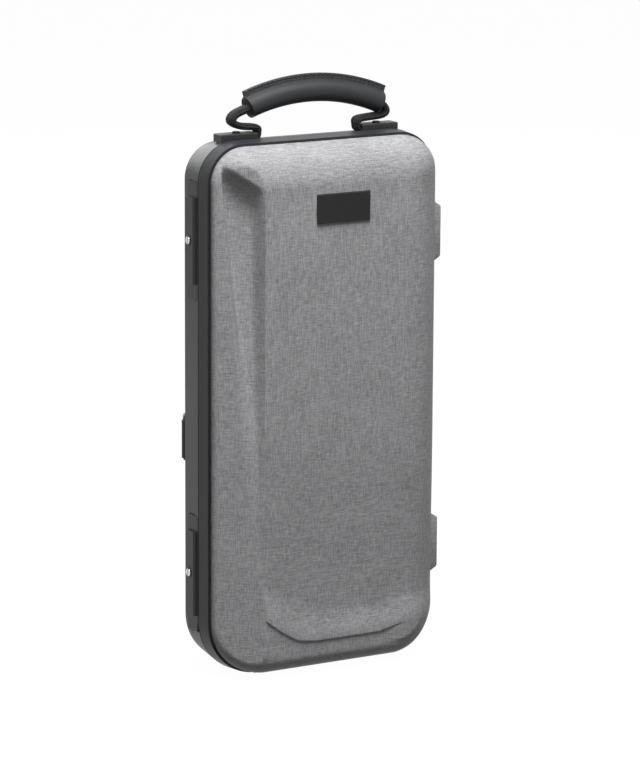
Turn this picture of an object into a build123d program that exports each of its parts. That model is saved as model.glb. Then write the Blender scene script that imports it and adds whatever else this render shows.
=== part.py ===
from build123d import *
from math import atan2, cos, degrees, hypot, radians, sin
import os

os.makedirs("parts", exist_ok=True)

# Case body. The seam plane splits it into a base behind and a lid in front
case_height = 430.0
case_width = 208.0
corner_radius = 32.0
bottom_corner_radius = 46.0
foot_height = 0.5
seam_gap = 0.2

# Base frame and its back shell
base_frame_depth = 28.0
base_frame_inset = 3.6
frame_wall = 3.0
back_shell_depth = 22.0
back_shell_step = 2.0
back_shell_lean = 11.0
back_edge_radius = 6.0
shell_wall = 3.0

# Lid frame, lid shell and its raised panel
lid_frame_depth = 15.0
lid_frame_inset = 1.0
lid_shell_step = 2.0
lid_shell_depth = 26.0
lid_left_wall = 5.5
lid_right_overrun = 0.8
panel_left_margin = 37.6
panel_right_margin = 39.5
panel_top_margin = 36.0
panel_bottom_margin = 28.0
panel_lip = 1.8
bottom_round_depth = 20.0
bottom_round_rise = 14.0
scoop_depth = 6.0
scoop_top_margin = 13.4
scoop_left_margin = 8.6
scoop_length = 150.0
scoop_narrowing = 8.0
lining_thickness = 2.0
lining_gap = 0.3
lining_rim = 6.0

# Bare badge plate
badge_width = 48.6
badge_height = 23.5
badge_thickness = 1.6
badge_x = 4.0
badge_below_top = 52.7
badge_pocket = 0.5

# Hinges on the right side
upper_hinge_below_top = 82.0
lower_hinge_above_bottom = 91.0
hinge_length = 46.0
hinge_axis_out = 2.2
knuckle_radius = 2.1
hinge_pin_radius = 1.1
hinge_pin_clearance = 0.05
hinge_leaf_depth = 12.0
hinge_leaf_thickness = 1.2
knuckle_gap = 0.3
knuckle_share = 0.3
boss_proud = 4.8
boss_depth = 9.0
boss_slope = 4.5

# Latches on the left side
upper_latch_below_top = 78.0
lower_latch_above_bottom = 83.5
latch_plate_length = 95.0
latch_plate_front = 1.5
latch_plate_back = 18.0
latch_plate_thickness = 2.9
latch_plate_inset = 0.1
lever_length = 69.0
lever_front = 3.6
lever_back = 17.0
lever_thickness = 1.95
lever_gap = 0.05
lever_axis_back = 5.6
lever_axis_in = 1.2
lever_knuckle_radius = 1.5
latch_pin_radius = 0.8
latch_pin_clearance = 0.05
lever_nose_chamfer = 1.5
latch_pocket_front = 2.3
latch_pocket_back = 7.6
lever_end_gap = 0.2
lock_back = 12.2
lock_head_radius = 4.3
lock_head_thickness = 0.8
lock_barrel_radius = 3.0
lock_clearance = 0.06
lock_slot_width = 1.0
lock_slot_length = 5.0
lock_slot_depth = 0.6
keeper_length = 28.0
keeper_depth = 8.0
keeper_thickness = 1.6
keeper_gap = 0.6
tongue_thickness = 0.8
tongue_length = 20.0
tongue_reach = 6.0
tongue_root = 1.8

# Handle
bracket_from_side = 23.0
bracket_length = 33.0
bracket_depth = 12.6
bracket_back = 10.0
bracket_rise = 4.4
bracket_tunnel_height = 2.4
bracket_tunnel_length = 13.0
bracket_screw_from_end = 16.7
bracket_screw_radius = 3.2
bracket_screw_head = 1.2
screw_shank_radius = 1.7
grip_arc_radius = 165.0
grip_centre_x = 3.1
grip_apex_rise = 33.5
grip_left_angle = 110.1
grip_right_angle = 67.2
grip_radius = 8.7
grip_core_radius = 6.6
grip_core_gap = 0.1
grip_end_recess = 1.2
strap_tuck = 0.5
fin_height = 5.4
fin_thickness = 2.6
strap_width = 11.0
strap_thickness = 2.2
strap_fold_radius = 1.6
strap_left_out = (-16.6, -6.9)
strap_left_low = 7.8
strap_right_out = (1.9, -2.1)
strap_right_back = (-0.7, -9.3)
strap_right_low = 8.0
strap_end_rise = 3.6
tab_length = 12.0
tab_gap = 0.3
tab_out = 2.8
tab_rise = 1.5

# Strap lugs and rings behind the left and right sides
lug_height_position = 187.0
lug_length = 31.0
lug_behind_frame = 8.0
lug_radius = 2.6
lug_offset = 1.8
ring_wire_radius = 1.2
ring_clearance = 0.08
ring_side_gap = 0.6
ring_reach = 15.0
ring_corner_radius = 4.0

# Feet
stand_foot_length = 42.0
stand_foot_width = 7.0
stand_foot_seat = 2.4
stand_foot_from_side = 66.0
base_foot_back = 17.0
lid_foot_front = 8.0
back_foot_radius = 7.0
back_foot_height = 2.0
back_foot_from_side = 21.4
back_foot_margin = 40.0

# Interior of the base
seal_inset = 2.4
seal_width = 1.8
seal_depth = 1.4
insert_clearance = 0.4
insert_top_gap = 3.0
insert_floor = 2.0
well_side_margin = 29.0
well_bottom_margin = 30.0
well_top_margin = 27.0
divider_thickness = 6.0
divider_top_gap = 6.0
lower_joint_width = 44.0
slot_width = 18.0
bell_length = 105.0
cover_thickness = 2.0
cover_rest = 3.0
cover_knuckle_share = 0.2
cover_gap = 0.5
cover_pin_radius = 1.0
cover_pin_clearance = 0.05
cover_knuckle_radius = 1.9
accessory_length = 170.0
accessory_width = 32.0
barrel_length = 70.0
pull_tab_length = 16.0
pull_tab_width = 9.0
pull_tab_thickness = 1.0

# Places that follow from the sizes above
lid_depth = lid_frame_depth + lid_shell_depth
front_extent = lid_depth + badge_thickness
base_depth = base_frame_depth + back_shell_depth
back_extent = base_depth + back_foot_height
seam_y = (front_extent - back_extent) / 2
bottom_z = foot_height
top_z = foot_height + case_height
mid_z = foot_height + case_height / 2
half_width = case_width / 2
half_height = case_height / 2
well_half_width = half_width - well_side_margin
stand_foot_x = half_width - stand_foot_from_side
bracket_outer_x = half_width - bracket_from_side
bracket_inner_x = bracket_outer_x - bracket_length
bracket_screw_x = bracket_outer_x - bracket_screw_from_end
lug_back = base_frame_depth + lug_behind_frame
inner_width = case_width - 2 * (base_frame_inset + frame_wall)
inner_height = case_height - 2 * (base_frame_inset + frame_wall)
inner_radius = corner_radius - base_frame_inset - frame_wall
shell_width = case_width - 2 * (lid_frame_inset + lid_shell_step)
shell_height = case_height - 2 * (lid_frame_inset + lid_shell_step)
shell_radius = corner_radius - lid_frame_inset - lid_shell_step
shell_half_width = shell_width / 2
shell_half_height = shell_height / 2
panel_left = panel_left_margin - half_width
panel_right = half_width - panel_right_margin
panel_top = half_height - panel_top_margin
panel_bottom = panel_bottom_margin - half_height
inner_side_x = inner_width / 2
hinge_x = half_width + hinge_axis_out
latch_face_x = latch_plate_inset - half_width
lever_inner_x = latch_face_x - lever_gap
lever_x = lever_inner_x - lever_thickness
left_extent = lock_head_thickness - lever_x
right_extent = hinge_x + knuckle_radius
centre_x = (left_extent - right_extent) / 2


def front_plane(depth):
    """Plane facing the front, at a depth in front of the seam."""
    return Plane(origin=(centre_x, seam_y - depth, mid_z), x_dir=(1, 0, 0), z_dir=(0, -1, 0))


def side_plane(x):
    """Plane facing right at a given x, local x runs to the back and local y up."""
    return Plane(origin=(centre_x + x, seam_y, mid_z), x_dir=(0, 1, 0), z_dir=(1, 0, 0))


def level_plane(z):
    """Plane facing up at a height above the bottom of the case, centred on the seam."""
    return Plane(origin=(centre_x, seam_y, bottom_z + z), x_dir=(1, 0, 0), z_dir=(0, 0, 1))


def rounded_outline(width, height, radius, mode=Mode.ADD):
    """Outline of the case at a size, its two lower corners wider than the upper ones."""
    low_radius = radius + bottom_corner_radius - corner_radius
    with BuildLine() as outline:
        FilletPolyline(
            (-width / 2, -height / 2),
            (width / 2, -height / 2),
            (width / 2, height / 2),
            (-width / 2, height / 2),
            close=True,
            radius=(low_radius, low_radius, radius, radius),
        )
    make_face(outline.edges(), mode=mode)


def finish(builder, label):
    """Label a piece and write it out."""
    builder.part.label = label
    export_step(builder.part, f"parts/{label}.step")


# Base frame: a tapered ring with seats for the hardware
upper_latch_height = case_height - upper_latch_below_top
upper_hinge_height = case_height - upper_hinge_below_top
latch_side = ((upper_latch_height, "upper"), (lower_latch_above_bottom, "lower"))
hinge_side = ((upper_hinge_height, "upper"), (lower_hinge_above_bottom, "lower"))
bracket_sides = ((-1, "left"), (1, "right"))
bracket_front = bracket_back - bracket_depth / 2
bracket_rear = bracket_back + bracket_depth / 2
bracket_seat = base_frame_inset * bracket_rear / base_frame_depth
latch_seat_x = latch_face_x + latch_plate_thickness
leaf_seat_x = half_width - hinge_leaf_thickness
latch_plate_mid = (latch_plate_front + latch_plate_back) / 2
latch_plate_depth = latch_plate_back - latch_plate_front
leaf_mid = knuckle_gap + hinge_leaf_depth / 2
seat_reach = 8.0

with BuildPart() as base_frame:
    with BuildSketch(front_plane(0)):
        rounded_outline(case_width, case_height, corner_radius)
    with BuildSketch(front_plane(-base_frame_depth)):
        rounded_outline(
            case_width - 2 * base_frame_inset,
            case_height - 2 * base_frame_inset,
            corner_radius - base_frame_inset,
        )
    loft(ruled=True)
    with BuildSketch(front_plane(0)):
        rounded_outline(inner_width, inner_height, inner_radius)
    extrude(amount=-base_frame_depth, mode=Mode.SUBTRACT)
    # groove for the rim seal
    with BuildSketch(front_plane(0)):
        rounded_outline(
            case_width - 2 * seal_inset,
            case_height - 2 * seal_inset,
            corner_radius - seal_inset,
        )
        rounded_outline(
            case_width - 2 * (seal_inset + seal_width),
            case_height - 2 * (seal_inset + seal_width),
            corner_radius - seal_inset - seal_width,
            mode=Mode.SUBTRACT,
        )
    extrude(amount=-seal_depth, mode=Mode.SUBTRACT)
    # seats of the latch plates
    for height, name in latch_side:
        with BuildSketch(side_plane(latch_seat_x)):
            with Locations((latch_plate_mid, height - half_height)):
                Rectangle(latch_plate_depth, latch_plate_length)
        extrude(amount=-seat_reach, mode=Mode.SUBTRACT)
    # seats of the hinge leaves
    for height, name in hinge_side:
        with BuildSketch(side_plane(leaf_seat_x)):
            with Locations((leaf_mid, height - half_height)):
                Rectangle(hinge_leaf_depth, hinge_length)
        extrude(amount=seat_reach, mode=Mode.SUBTRACT)
    # flat seats and screw holes of the handle brackets
    for side, name in bracket_sides:
        with BuildSketch(level_plane(case_height - bracket_seat)):
            with Locations((side * (bracket_inner_x + bracket_outer_x) / 2, bracket_back)):
                Rectangle(bracket_outer_x - bracket_inner_x, bracket_depth)
            with Locations((side * (bracket_inner_x - tab_out / 2), bracket_back)):
                Rectangle(tab_out, strap_width + 2 * tab_gap)
        extrude(amount=seat_reach, mode=Mode.SUBTRACT)
        with BuildSketch(level_plane(case_height)):
            with Locations((side * bracket_screw_x, bracket_back)):
                Circle(screw_shank_radius)
        extrude(amount=-(base_frame_inset + 2 * frame_wall), mode=Mode.SUBTRACT)
    # seats of the standing feet
    with BuildSketch(level_plane(0)):
        with Locations((stand_foot_x, base_foot_back), (-stand_foot_x, base_foot_back)):
            Rectangle(stand_foot_length, stand_foot_width)
    extrude(amount=stand_foot_seat, mode=Mode.SUBTRACT)
finish(base_frame, "base_frame")

# Back shell of the base: a shallow tapered tray with rounded edges
back_root_width = case_width - 2 * (base_frame_inset + back_shell_step)
back_root_height = case_height - 2 * (base_frame_inset + back_shell_step)
back_root_radius = corner_radius - base_frame_inset - back_shell_step


def back_outline(depth, inset):
    """Outline of the back shell at a depth behind the frame, drawn in by an inset."""
    lean = back_shell_lean * depth / back_shell_depth + inset
    rounded_outline(
        back_root_width - 2 * lean,
        back_root_height - 2 * lean,
        back_root_radius - lean,
    )


with BuildPart() as base_shell:
    with BuildSketch(front_plane(-base_frame_depth)):
        back_outline(0, 0)
    with BuildSketch(front_plane(-base_depth)):
        back_outline(back_shell_depth, 0)
    loft(ruled=True)
    fillet(base_shell.faces().sort_by(Axis.Y)[-1].edges(), back_edge_radius)
    with BuildSketch(front_plane(-base_frame_depth)):
        back_outline(0, shell_wall)
    with BuildSketch(front_plane(-(base_depth - shell_wall))):
        back_outline(back_shell_depth - shell_wall, shell_wall)
    loft(ruled=True, mode=Mode.SUBTRACT)
finish(base_shell, "base_shell")

# Rubber studs that carry the case when it lies on its back
back_foot_x = back_root_width / 2 - back_shell_lean - back_foot_from_side
back_feet_z = (back_foot_margin, case_height - back_foot_margin)
stud_number = 0
for stud_z in back_feet_z:
    for stud_side in (-1, 1):
        stud_number = stud_number + 1
        with BuildPart() as back_foot:
            with BuildSketch(front_plane(-base_depth)):
                with Locations((stud_side * back_foot_x, stud_z - half_height)):
                    Circle(back_foot_radius)
            extrude(amount=-back_foot_height)
            fillet(back_foot.faces().sort_by(Axis.Y)[-1].edges(), back_foot_height / 2)
        finish(back_foot, f"back_foot_{stud_number}")

# Lid frame: a shorter ring in front of the seam
with BuildPart() as lid_frame:
    with BuildSketch(front_plane(seam_gap)):
        rounded_outline(case_width, case_height, corner_radius)
    with BuildSketch(front_plane(lid_frame_depth)):
        rounded_outline(
            case_width - 2 * lid_frame_inset,
            case_height - 2 * lid_frame_inset,
            corner_radius - lid_frame_inset,
        )
    loft(ruled=True)
    with BuildSketch(front_plane(seam_gap)):
        rounded_outline(inner_width, inner_height, inner_radius)
    extrude(amount=lid_frame_depth - seam_gap, mode=Mode.SUBTRACT)
    for height, name in hinge_side:
        with BuildSketch(side_plane(leaf_seat_x)):
            with Locations((-leaf_mid, height - half_height)):
                Rectangle(hinge_leaf_depth, hinge_length)
        extrude(amount=seat_reach, mode=Mode.SUBTRACT)
    with BuildSketch(level_plane(0)):
        with Locations((stand_foot_x, -lid_foot_front), (-stand_foot_x, -lid_foot_front)):
            Rectangle(stand_foot_length, stand_foot_width)
    extrude(amount=stand_foot_seat, mode=Mode.SUBTRACT)
finish(lid_frame, "lid_frame")

# Rim seal in its groove
with BuildPart() as rim_seal:
    with BuildSketch(front_plane(0)):
        rounded_outline(
            case_width - 2 * seal_inset,
            case_height - 2 * seal_inset,
            corner_radius - seal_inset,
        )
        rounded_outline(
            case_width - 2 * (seal_inset + seal_width),
            case_height - 2 * (seal_inset + seal_width),
            corner_radius - seal_inset - seal_width,
            mode=Mode.SUBTRACT,
        )
    extrude(amount=-seal_depth)
finish(rim_seal, "rim_seal")

# Lid shell. Its form is shared by two sections, one seen from the side and one from above
facet_left = -shell_half_width
facet_depth = lid_frame_depth + lid_left_wall
facet_length = hypot(panel_left - facet_left, lid_depth - facet_depth)
facet_sin = (lid_depth - facet_depth) / facet_length
facet_cos = (panel_left - facet_left) / facet_length
band_depth = lid_depth - panel_lip
boss_x = shell_half_width + boss_proud


def side_section(shift):
    """Section seen from the side: round bottom edge, low band, panel and a long round top."""
    face = lid_depth - shift
    band = band_depth - shift
    low = shift - shell_half_height
    top_rise = shell_half_height - shift - panel_top
    with BuildLine() as outline:
        Polyline(
            (bottom_round_depth - band_depth, low),
            (0, low),
            (0, panel_top + top_rise),
            (-lid_frame_depth, panel_top + top_rise),
        )
        Polyline(
            (-band, bottom_round_rise - shell_half_height),
            (-band, panel_bottom + shift),
            (-face, panel_bottom + shift + panel_lip),
            (-face, panel_top),
        )
        EllipticalCenterArc(
            (-lid_frame_depth, panel_top),
            lid_shell_depth - shift,
            top_rise,
            start_angle=90,
            arc_size=90,
        )
        EllipticalCenterArc(
            (bottom_round_depth - band_depth, bottom_round_rise - shell_half_height),
            bottom_round_depth - shift,
            bottom_round_rise - shift,
            start_angle=180,
            arc_size=90,
        )
    make_face(outline.edges())


def top_section(shift):
    """Section seen from above: left wall, flat left facet, panel and a long round right.

    The round runs out a little past the shell's side, which leaves a low wall there.
    """
    face = lid_depth - shift
    wall = facet_left + shift
    right_reach = shell_half_width + lid_right_overrun - shift - panel_right
    knee = facet_depth - shift * (1 - facet_sin) / facet_cos
    brow = panel_left + shift * (1 - facet_cos) / facet_sin
    with BuildLine() as outline:
        Polyline(
            (wall, 0),
            (wall, -knee),
            (brow, -face),
            (panel_right, -face),
        )
        EllipticalCenterArc(
            (panel_right, -lid_frame_depth),
            right_reach,
            lid_shell_depth - shift,
            start_angle=270,
            arc_size=90,
        )
        Polyline(
            (panel_right + right_reach, -lid_frame_depth),
            (panel_right + right_reach, 0),
            (wall, 0),
        )
    make_face(outline.edges())


# The scoop cut into the upper end of the left facet, laid out on its own sloping floor
scoop_tilt = degrees(atan2(scoop_depth, scoop_length))
scoop_low = panel_top - scoop_length
facet_plane = Plane(
    origin=(centre_x + panel_left, seam_y - lid_depth, mid_z + scoop_low),
    x_dir=(facet_cos, -facet_sin, 0),
    z_dir=(-facet_sin, -facet_cos, 0),
)
scoop_plane = facet_plane.rotated((-scoop_tilt, 0, 0))
scoop_corner = (scoop_left_margin - half_width - panel_left) / facet_cos
scoop_reach = 40.0


def scoop_outline(shift):
    """Outline of the scoop on its floor, grown by a shift."""
    Polygon(
        (shift, 0),
        (shift, scoop_length + shift),
        (scoop_corner - shift, scoop_length + panel_top_margin - scoop_top_margin + shift),
        (scoop_corner + scoop_narrowing - shift, 0),
        align=None,
    )


def lid_form(shift):
    """The lid's outer form, drawn in by a shift."""
    with BuildPart() as form:
        with BuildSketch(front_plane(0)):
            rounded_outline(
                shell_width - 2 * shift,
                shell_height - 2 * shift,
                shell_radius - shift,
            )
        extrude(amount=lid_depth)
        with BuildSketch(side_plane(0)):
            side_section(shift)
        extrude(amount=half_width, both=True, mode=Mode.INTERSECT)
        with BuildSketch(level_plane(half_height)):
            top_section(shift)
        extrude(amount=half_height, both=True, mode=Mode.INTERSECT)
        with BuildSketch(scoop_plane.offset(-shift)):
            scoop_outline(shift)
        extrude(amount=scoop_reach, mode=Mode.SUBTRACT)
    return form.part


with BuildPart() as lid_shell:
    add(lid_form(0))
    add(lid_form(shell_wall), mode=Mode.SUBTRACT)
    with BuildSketch(front_plane(0)):
        Rectangle(case_width, case_height)
    extrude(amount=lid_frame_depth, mode=Mode.SUBTRACT)
    # bosses over the hinges, with sloping ends
    for height, name in hinge_side:
        boss_half = hinge_length / 2 + boss_slope / 2
        boss_root = shell_half_width - shell_wall / 2
        with BuildSketch(front_plane(lid_frame_depth)):
            with BuildLine():
                Polyline(
                    (boss_root, height - half_height - boss_half),
                    (boss_x - boss_slope, height - half_height - boss_half),
                    (boss_x, height - half_height - boss_half + boss_slope),
                    (boss_x, height - half_height + boss_half - boss_slope),
                    (boss_x - boss_slope, height - half_height + boss_half),
                    (boss_root, height - half_height + boss_half),
                    close=True,
                )
            make_face()
        extrude(amount=boss_depth)
    # shallow pocket for the badge plate
    badge_z = case_height - badge_below_top
    with BuildSketch(front_plane(lid_depth)):
        with Locations((badge_x, badge_z - half_height)):
            Rectangle(badge_width, badge_height)
    extrude(amount=-badge_pocket, mode=Mode.SUBTRACT)
finish(lid_shell, "lid_shell")

# Bare badge plate, seated in its pocket
with BuildPart() as badge_plate:
    with BuildSketch(front_plane(lid_depth - badge_pocket)):
        with Locations((badge_x, badge_z - half_height)):
            Rectangle(badge_width, badge_height)
    extrude(amount=badge_thickness + badge_pocket)
    chamfer(badge_plate.faces().sort_by(Axis.Y)[0].edges(), badge_thickness / 2)
finish(badge_plate, "badge_plate")

# Thin lining that follows the inside of the lid shell
lining_shift = shell_wall + lining_gap
with BuildPart() as lid_lining:
    add(lid_form(lining_shift))
    add(lid_form(lining_shift + lining_thickness), mode=Mode.SUBTRACT)
    with BuildSketch(front_plane(0)):
        Rectangle(case_width, case_height)
    extrude(amount=lid_frame_depth + lining_rim, mode=Mode.SUBTRACT)
finish(lid_lining, "lid_lining")

# Standing feet under the base frame and the lid frame
foot_number = 0
foot_rows = ((base_foot_back, "base"), (-lid_foot_front, "lid"))
for foot_y, foot_row in foot_rows:
    for foot_side, foot_name in bracket_sides:
        with BuildPart() as stand_foot:
            with BuildSketch(level_plane(-foot_height)):
                with Locations((foot_side * stand_foot_x, foot_y)):
                    Rectangle(stand_foot_length, stand_foot_width)
            extrude(amount=foot_height + stand_foot_seat)
        finish(stand_foot, f"{foot_row}_foot_{foot_name}")

# Hinges: two leaves with knuckles round one pin
knuckle_length = hinge_length * knuckle_share
middle_length = hinge_length - 2 * knuckle_length - 2 * knuckle_gap


def knuckle_outline(direction):
    """Knuckle on the hinge axis with its web to the leaf, on one side of the seam."""
    with Locations((hinge_x, 0)):
        Circle(knuckle_radius)
    with Locations((leaf_seat_x, direction * (knuckle_gap + knuckle_radius) / 2)):
        Rectangle(
            hinge_x - leaf_seat_x,
            knuckle_radius - knuckle_gap,
            align=(Align.MIN, Align.CENTER),
        )
    with Locations((hinge_x, 0)):
        Circle(hinge_pin_radius + hinge_pin_clearance, mode=Mode.SUBTRACT)


for height, name in hinge_side:
    hinge_low = height - hinge_length / 2
    outer_knuckles = (hinge_low, height + hinge_length / 2 - knuckle_length)
    with BuildPart() as base_leaf:
        with BuildSketch(side_plane(leaf_seat_x)):
            with Locations((leaf_mid, height - half_height)):
                Rectangle(hinge_leaf_depth, hinge_length)
        extrude(amount=hinge_leaf_thickness)
        for knuckle_low in outer_knuckles:
            with BuildSketch(level_plane(knuckle_low)):
                knuckle_outline(1)
            extrude(amount=knuckle_length)
    finish(base_leaf, f"hinge_base_leaf_{name}")
    with BuildPart() as lid_leaf:
        with BuildSketch(side_plane(leaf_seat_x)):
            with Locations((-leaf_mid, height - half_height)):
                Rectangle(hinge_leaf_depth, hinge_length)
        extrude(amount=hinge_leaf_thickness)
        with BuildSketch(level_plane(hinge_low + knuckle_length + knuckle_gap)):
            knuckle_outline(-1)
        extrude(amount=middle_length)
    finish(lid_leaf, f"hinge_lid_leaf_{name}")
    with BuildPart() as hinge_pin:
        with BuildSketch(level_plane(hinge_low)):
            with Locations((hinge_x, 0)):
                Circle(hinge_pin_radius)
        extrude(amount=hinge_length)
    finish(hinge_pin, f"hinge_pin_{name}")

# Latches: plate, lever on its pin, lock disc, keeper and tongue
lever_axis_x = latch_face_x + lever_axis_in
lever_half = lever_length / 2
pocket_half = lever_half + lever_end_gap
pin_half = pocket_half + lever_end_gap + 2 * latch_pin_radius
keeper_x = -inner_side_x
tongue_x = -inner_side_x + keeper_thickness + keeper_gap

for height, name in latch_side:
    latch_z = height - half_height
    with BuildPart() as latch_plate:
        with BuildSketch(side_plane(latch_seat_x)):
            with Locations((latch_plate_mid, latch_z)):
                Rectangle(latch_plate_depth, latch_plate_length)
        extrude(amount=-latch_plate_thickness)
        with BuildSketch(side_plane(latch_seat_x)):
            with Locations(((latch_pocket_front + latch_pocket_back) / 2, latch_z)):
                Rectangle(latch_pocket_back - latch_pocket_front, 2 * pocket_half)
        extrude(amount=-latch_plate_thickness, mode=Mode.SUBTRACT)
        with BuildSketch(level_plane(height - pin_half)):
            with Locations((lever_axis_x, lever_axis_back)):
                Circle(latch_pin_radius)
        extrude(amount=2 * pin_half, mode=Mode.SUBTRACT)
    finish(latch_plate, f"latch_plate_{name}")

    with BuildPart() as latch_pin:
        with BuildSketch(level_plane(height - pin_half)):
            with Locations((lever_axis_x, lever_axis_back)):
                Circle(latch_pin_radius)
        extrude(amount=2 * pin_half)
    finish(latch_pin, f"latch_pin_{name}")

    with BuildPart() as latch_lever:
        with BuildSketch(level_plane(height - lever_half)):
            with BuildLine():
                Polyline(
                    (lever_x, lever_back),
                    (lever_x, lever_front + lever_nose_chamfer),
                    (lever_x + lever_nose_chamfer, lever_front),
                    (lever_inner_x, lever_front),
                    (lever_inner_x, lever_back),
                    close=True,
                )
            make_face()
            with Locations((lever_axis_x, lever_axis_back)):
                Circle(lever_knuckle_radius)
                Circle(latch_pin_radius + latch_pin_clearance, mode=Mode.SUBTRACT)
        extrude(amount=lever_length)
        with BuildSketch(side_plane(lever_x)):
            with Locations((lock_back, latch_z)):
                Circle(lock_barrel_radius + lock_clearance)
        extrude(amount=lever_thickness, mode=Mode.SUBTRACT)
    finish(latch_lever, f"latch_lever_{name}")

    with BuildPart() as latch_lock:
        with BuildSketch(side_plane(lever_x)):
            with Locations((lock_back, latch_z)):
                Circle(lock_barrel_radius)
        extrude(amount=lever_thickness - lever_gap)
        with BuildSketch(side_plane(lever_x)):
            with Locations((lock_back, latch_z)):
                Circle(lock_head_radius)
        extrude(amount=-lock_head_thickness)
        with BuildSketch(side_plane(lever_x - lock_head_thickness)):
            with Locations((lock_back, latch_z)):
                Rectangle(lock_slot_width, lock_slot_length)
        extrude(amount=lock_slot_depth, mode=Mode.SUBTRACT)
    finish(latch_lock, f"latch_lock_{name}")

    with BuildPart() as latch_keeper:
        with BuildSketch(side_plane(keeper_x)):
            with Locations((-seam_gap - keeper_depth / 2, latch_z)):
                Rectangle(keeper_depth, keeper_length)
                Rectangle(keeper_depth / 2, keeper_length / 2, mode=Mode.SUBTRACT)
        extrude(amount=keeper_thickness)
    finish(latch_keeper, f"latch_keeper_{name}")

    with BuildPart() as latch_tongue:
        with BuildSketch(side_plane(keeper_x)):
            with Locations((keeper_gap + tongue_root / 2, latch_z)):
                Rectangle(tongue_root, tongue_length)
        extrude(amount=tongue_x + tongue_thickness - keeper_x)
        with BuildSketch(side_plane(tongue_x)):
            with Locations(((keeper_gap + tongue_root - tongue_reach) / 2, latch_z)):
                Rectangle(keeper_gap + tongue_root + tongue_reach, tongue_length)
        extrude(amount=tongue_thickness)
    finish(latch_tongue, f"latch_tongue_{name}")

# Handle brackets, screws and the webbing tabs that they clamp
bracket_base_z = case_height - bracket_seat
bracket_top_z = case_height + bracket_rise
for side, name in bracket_sides:
    bracket_mid_x = side * (bracket_inner_x + bracket_outer_x) / 2
    tunnel_x = side * (bracket_inner_x + bracket_tunnel_length / 2)
    with BuildPart() as handle_bracket:
        with BuildSketch(level_plane(bracket_base_z)):
            with Locations((bracket_mid_x, bracket_back)):
                Rectangle(bracket_outer_x - bracket_inner_x, bracket_depth)
        extrude(amount=bracket_top_z - bracket_base_z)
        top_edges = handle_bracket.faces().sort_by(Axis.Z)[-1].edges()
        fillet(top_edges, bracket_screw_head)
        with BuildSketch(level_plane(bracket_base_z)):
            with Locations((tunnel_x, bracket_back)):
                Rectangle(bracket_tunnel_length, strap_width + 2 * tab_gap)
        extrude(amount=bracket_tunnel_height, mode=Mode.SUBTRACT)
        with BuildSketch(level_plane(bracket_base_z)):
            with Locations((side * bracket_screw_x, bracket_back)):
                Circle(screw_shank_radius)
        extrude(amount=bracket_top_z - bracket_base_z, mode=Mode.SUBTRACT)
    finish(handle_bracket, f"handle_bracket_{name}")

    with BuildPart() as bracket_screw:
        with BuildSketch(level_plane(bracket_top_z)):
            with Locations((side * bracket_screw_x, bracket_back)):
                Circle(bracket_screw_radius)
        extrude(amount=bracket_screw_head)
        fillet(bracket_screw.faces().sort_by(Axis.Z)[-1].edges(), bracket_screw_head / 2)
        with BuildSketch(level_plane(bracket_top_z)):
            with Locations((side * bracket_screw_x, bracket_back)):
                Circle(screw_shank_radius)
        shank_length = bracket_rise + base_frame_inset + frame_wall
        extrude(amount=-shank_length)
    finish(bracket_screw, f"bracket_screw_{name}")

    tab_inner_x = bracket_inner_x - tab_gap - strap_thickness
    tab_outer_x = bracket_inner_x + tab_length
    tab_half_thickness = strap_thickness / 2
    with BuildPart() as strap_tab:
        with BuildSketch(level_plane(bracket_base_z)):
            with Locations((side * (tab_inner_x + tab_outer_x) / 2, bracket_back)):
                Rectangle(tab_outer_x - tab_inner_x, strap_width)
        extrude(amount=bracket_tunnel_height)
        with BuildSketch(level_plane(bracket_base_z)):
            with Locations((side * (tab_inner_x + tab_half_thickness), bracket_back)):
                Rectangle(strap_thickness, strap_width)
        extrude(amount=case_height + tab_rise - bracket_base_z)
    finish(strap_tab, f"strap_tab_{name}")

# Handle grip: an arched tube with a stitched fin along its top
grip_low_z = grip_apex_rise - grip_arc_radius
grip_plane = Plane(
    origin=(centre_x + grip_centre_x, seam_y + bracket_back, top_z + grip_low_z),
    x_dir=(1, 0, 0),
    z_dir=(0, -1, 0),
)
grip_sweep = grip_left_angle - grip_right_angle
recess_angle = degrees(grip_end_recess / grip_arc_radius)
fin_outer = grip_arc_radius + grip_radius + fin_height


def grip_point(angle, radius):
    """Point at an angle round the grip's arc, in the grip plane."""
    return (radius * cos(radians(angle)), radius * sin(radians(angle)))


def grip_section_plane(angle):
    """Plane across the grip's arc at an angle."""
    x, y = grip_point(angle, grip_arc_radius)
    spot = grip_plane.from_local_coords(Vector(x, y, 0))
    along = Vector(-sin(radians(angle)), 0, cos(radians(angle)))
    return Plane(origin=spot, x_dir=(0, 1, 0), z_dir=along)


with BuildPart() as handle_grip:
    with BuildLine(grip_plane):
        CenterArc((0, 0), grip_arc_radius, grip_right_angle, grip_sweep)
    with BuildSketch(grip_section_plane(grip_right_angle)):
        Circle(grip_radius)
    sweep()
    with BuildSketch(grip_plane):
        with BuildLine():
            CenterArc((0, 0), grip_arc_radius, grip_right_angle, grip_sweep)
            CenterArc((0, 0), fin_outer, grip_right_angle, grip_sweep)
            for end_angle in (grip_right_angle, grip_left_angle):
                Line(grip_point(end_angle, grip_arc_radius), grip_point(end_angle, fin_outer))
        make_face()
    extrude(amount=fin_thickness / 2, both=True)
    with BuildLine(grip_plane):
        CenterArc((0, 0), grip_arc_radius, grip_right_angle, grip_sweep)
    with BuildSketch(grip_section_plane(grip_right_angle)):
        Circle(grip_core_radius + grip_core_gap)
    sweep(mode=Mode.SUBTRACT)
finish(handle_grip, "handle_grip")

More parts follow.
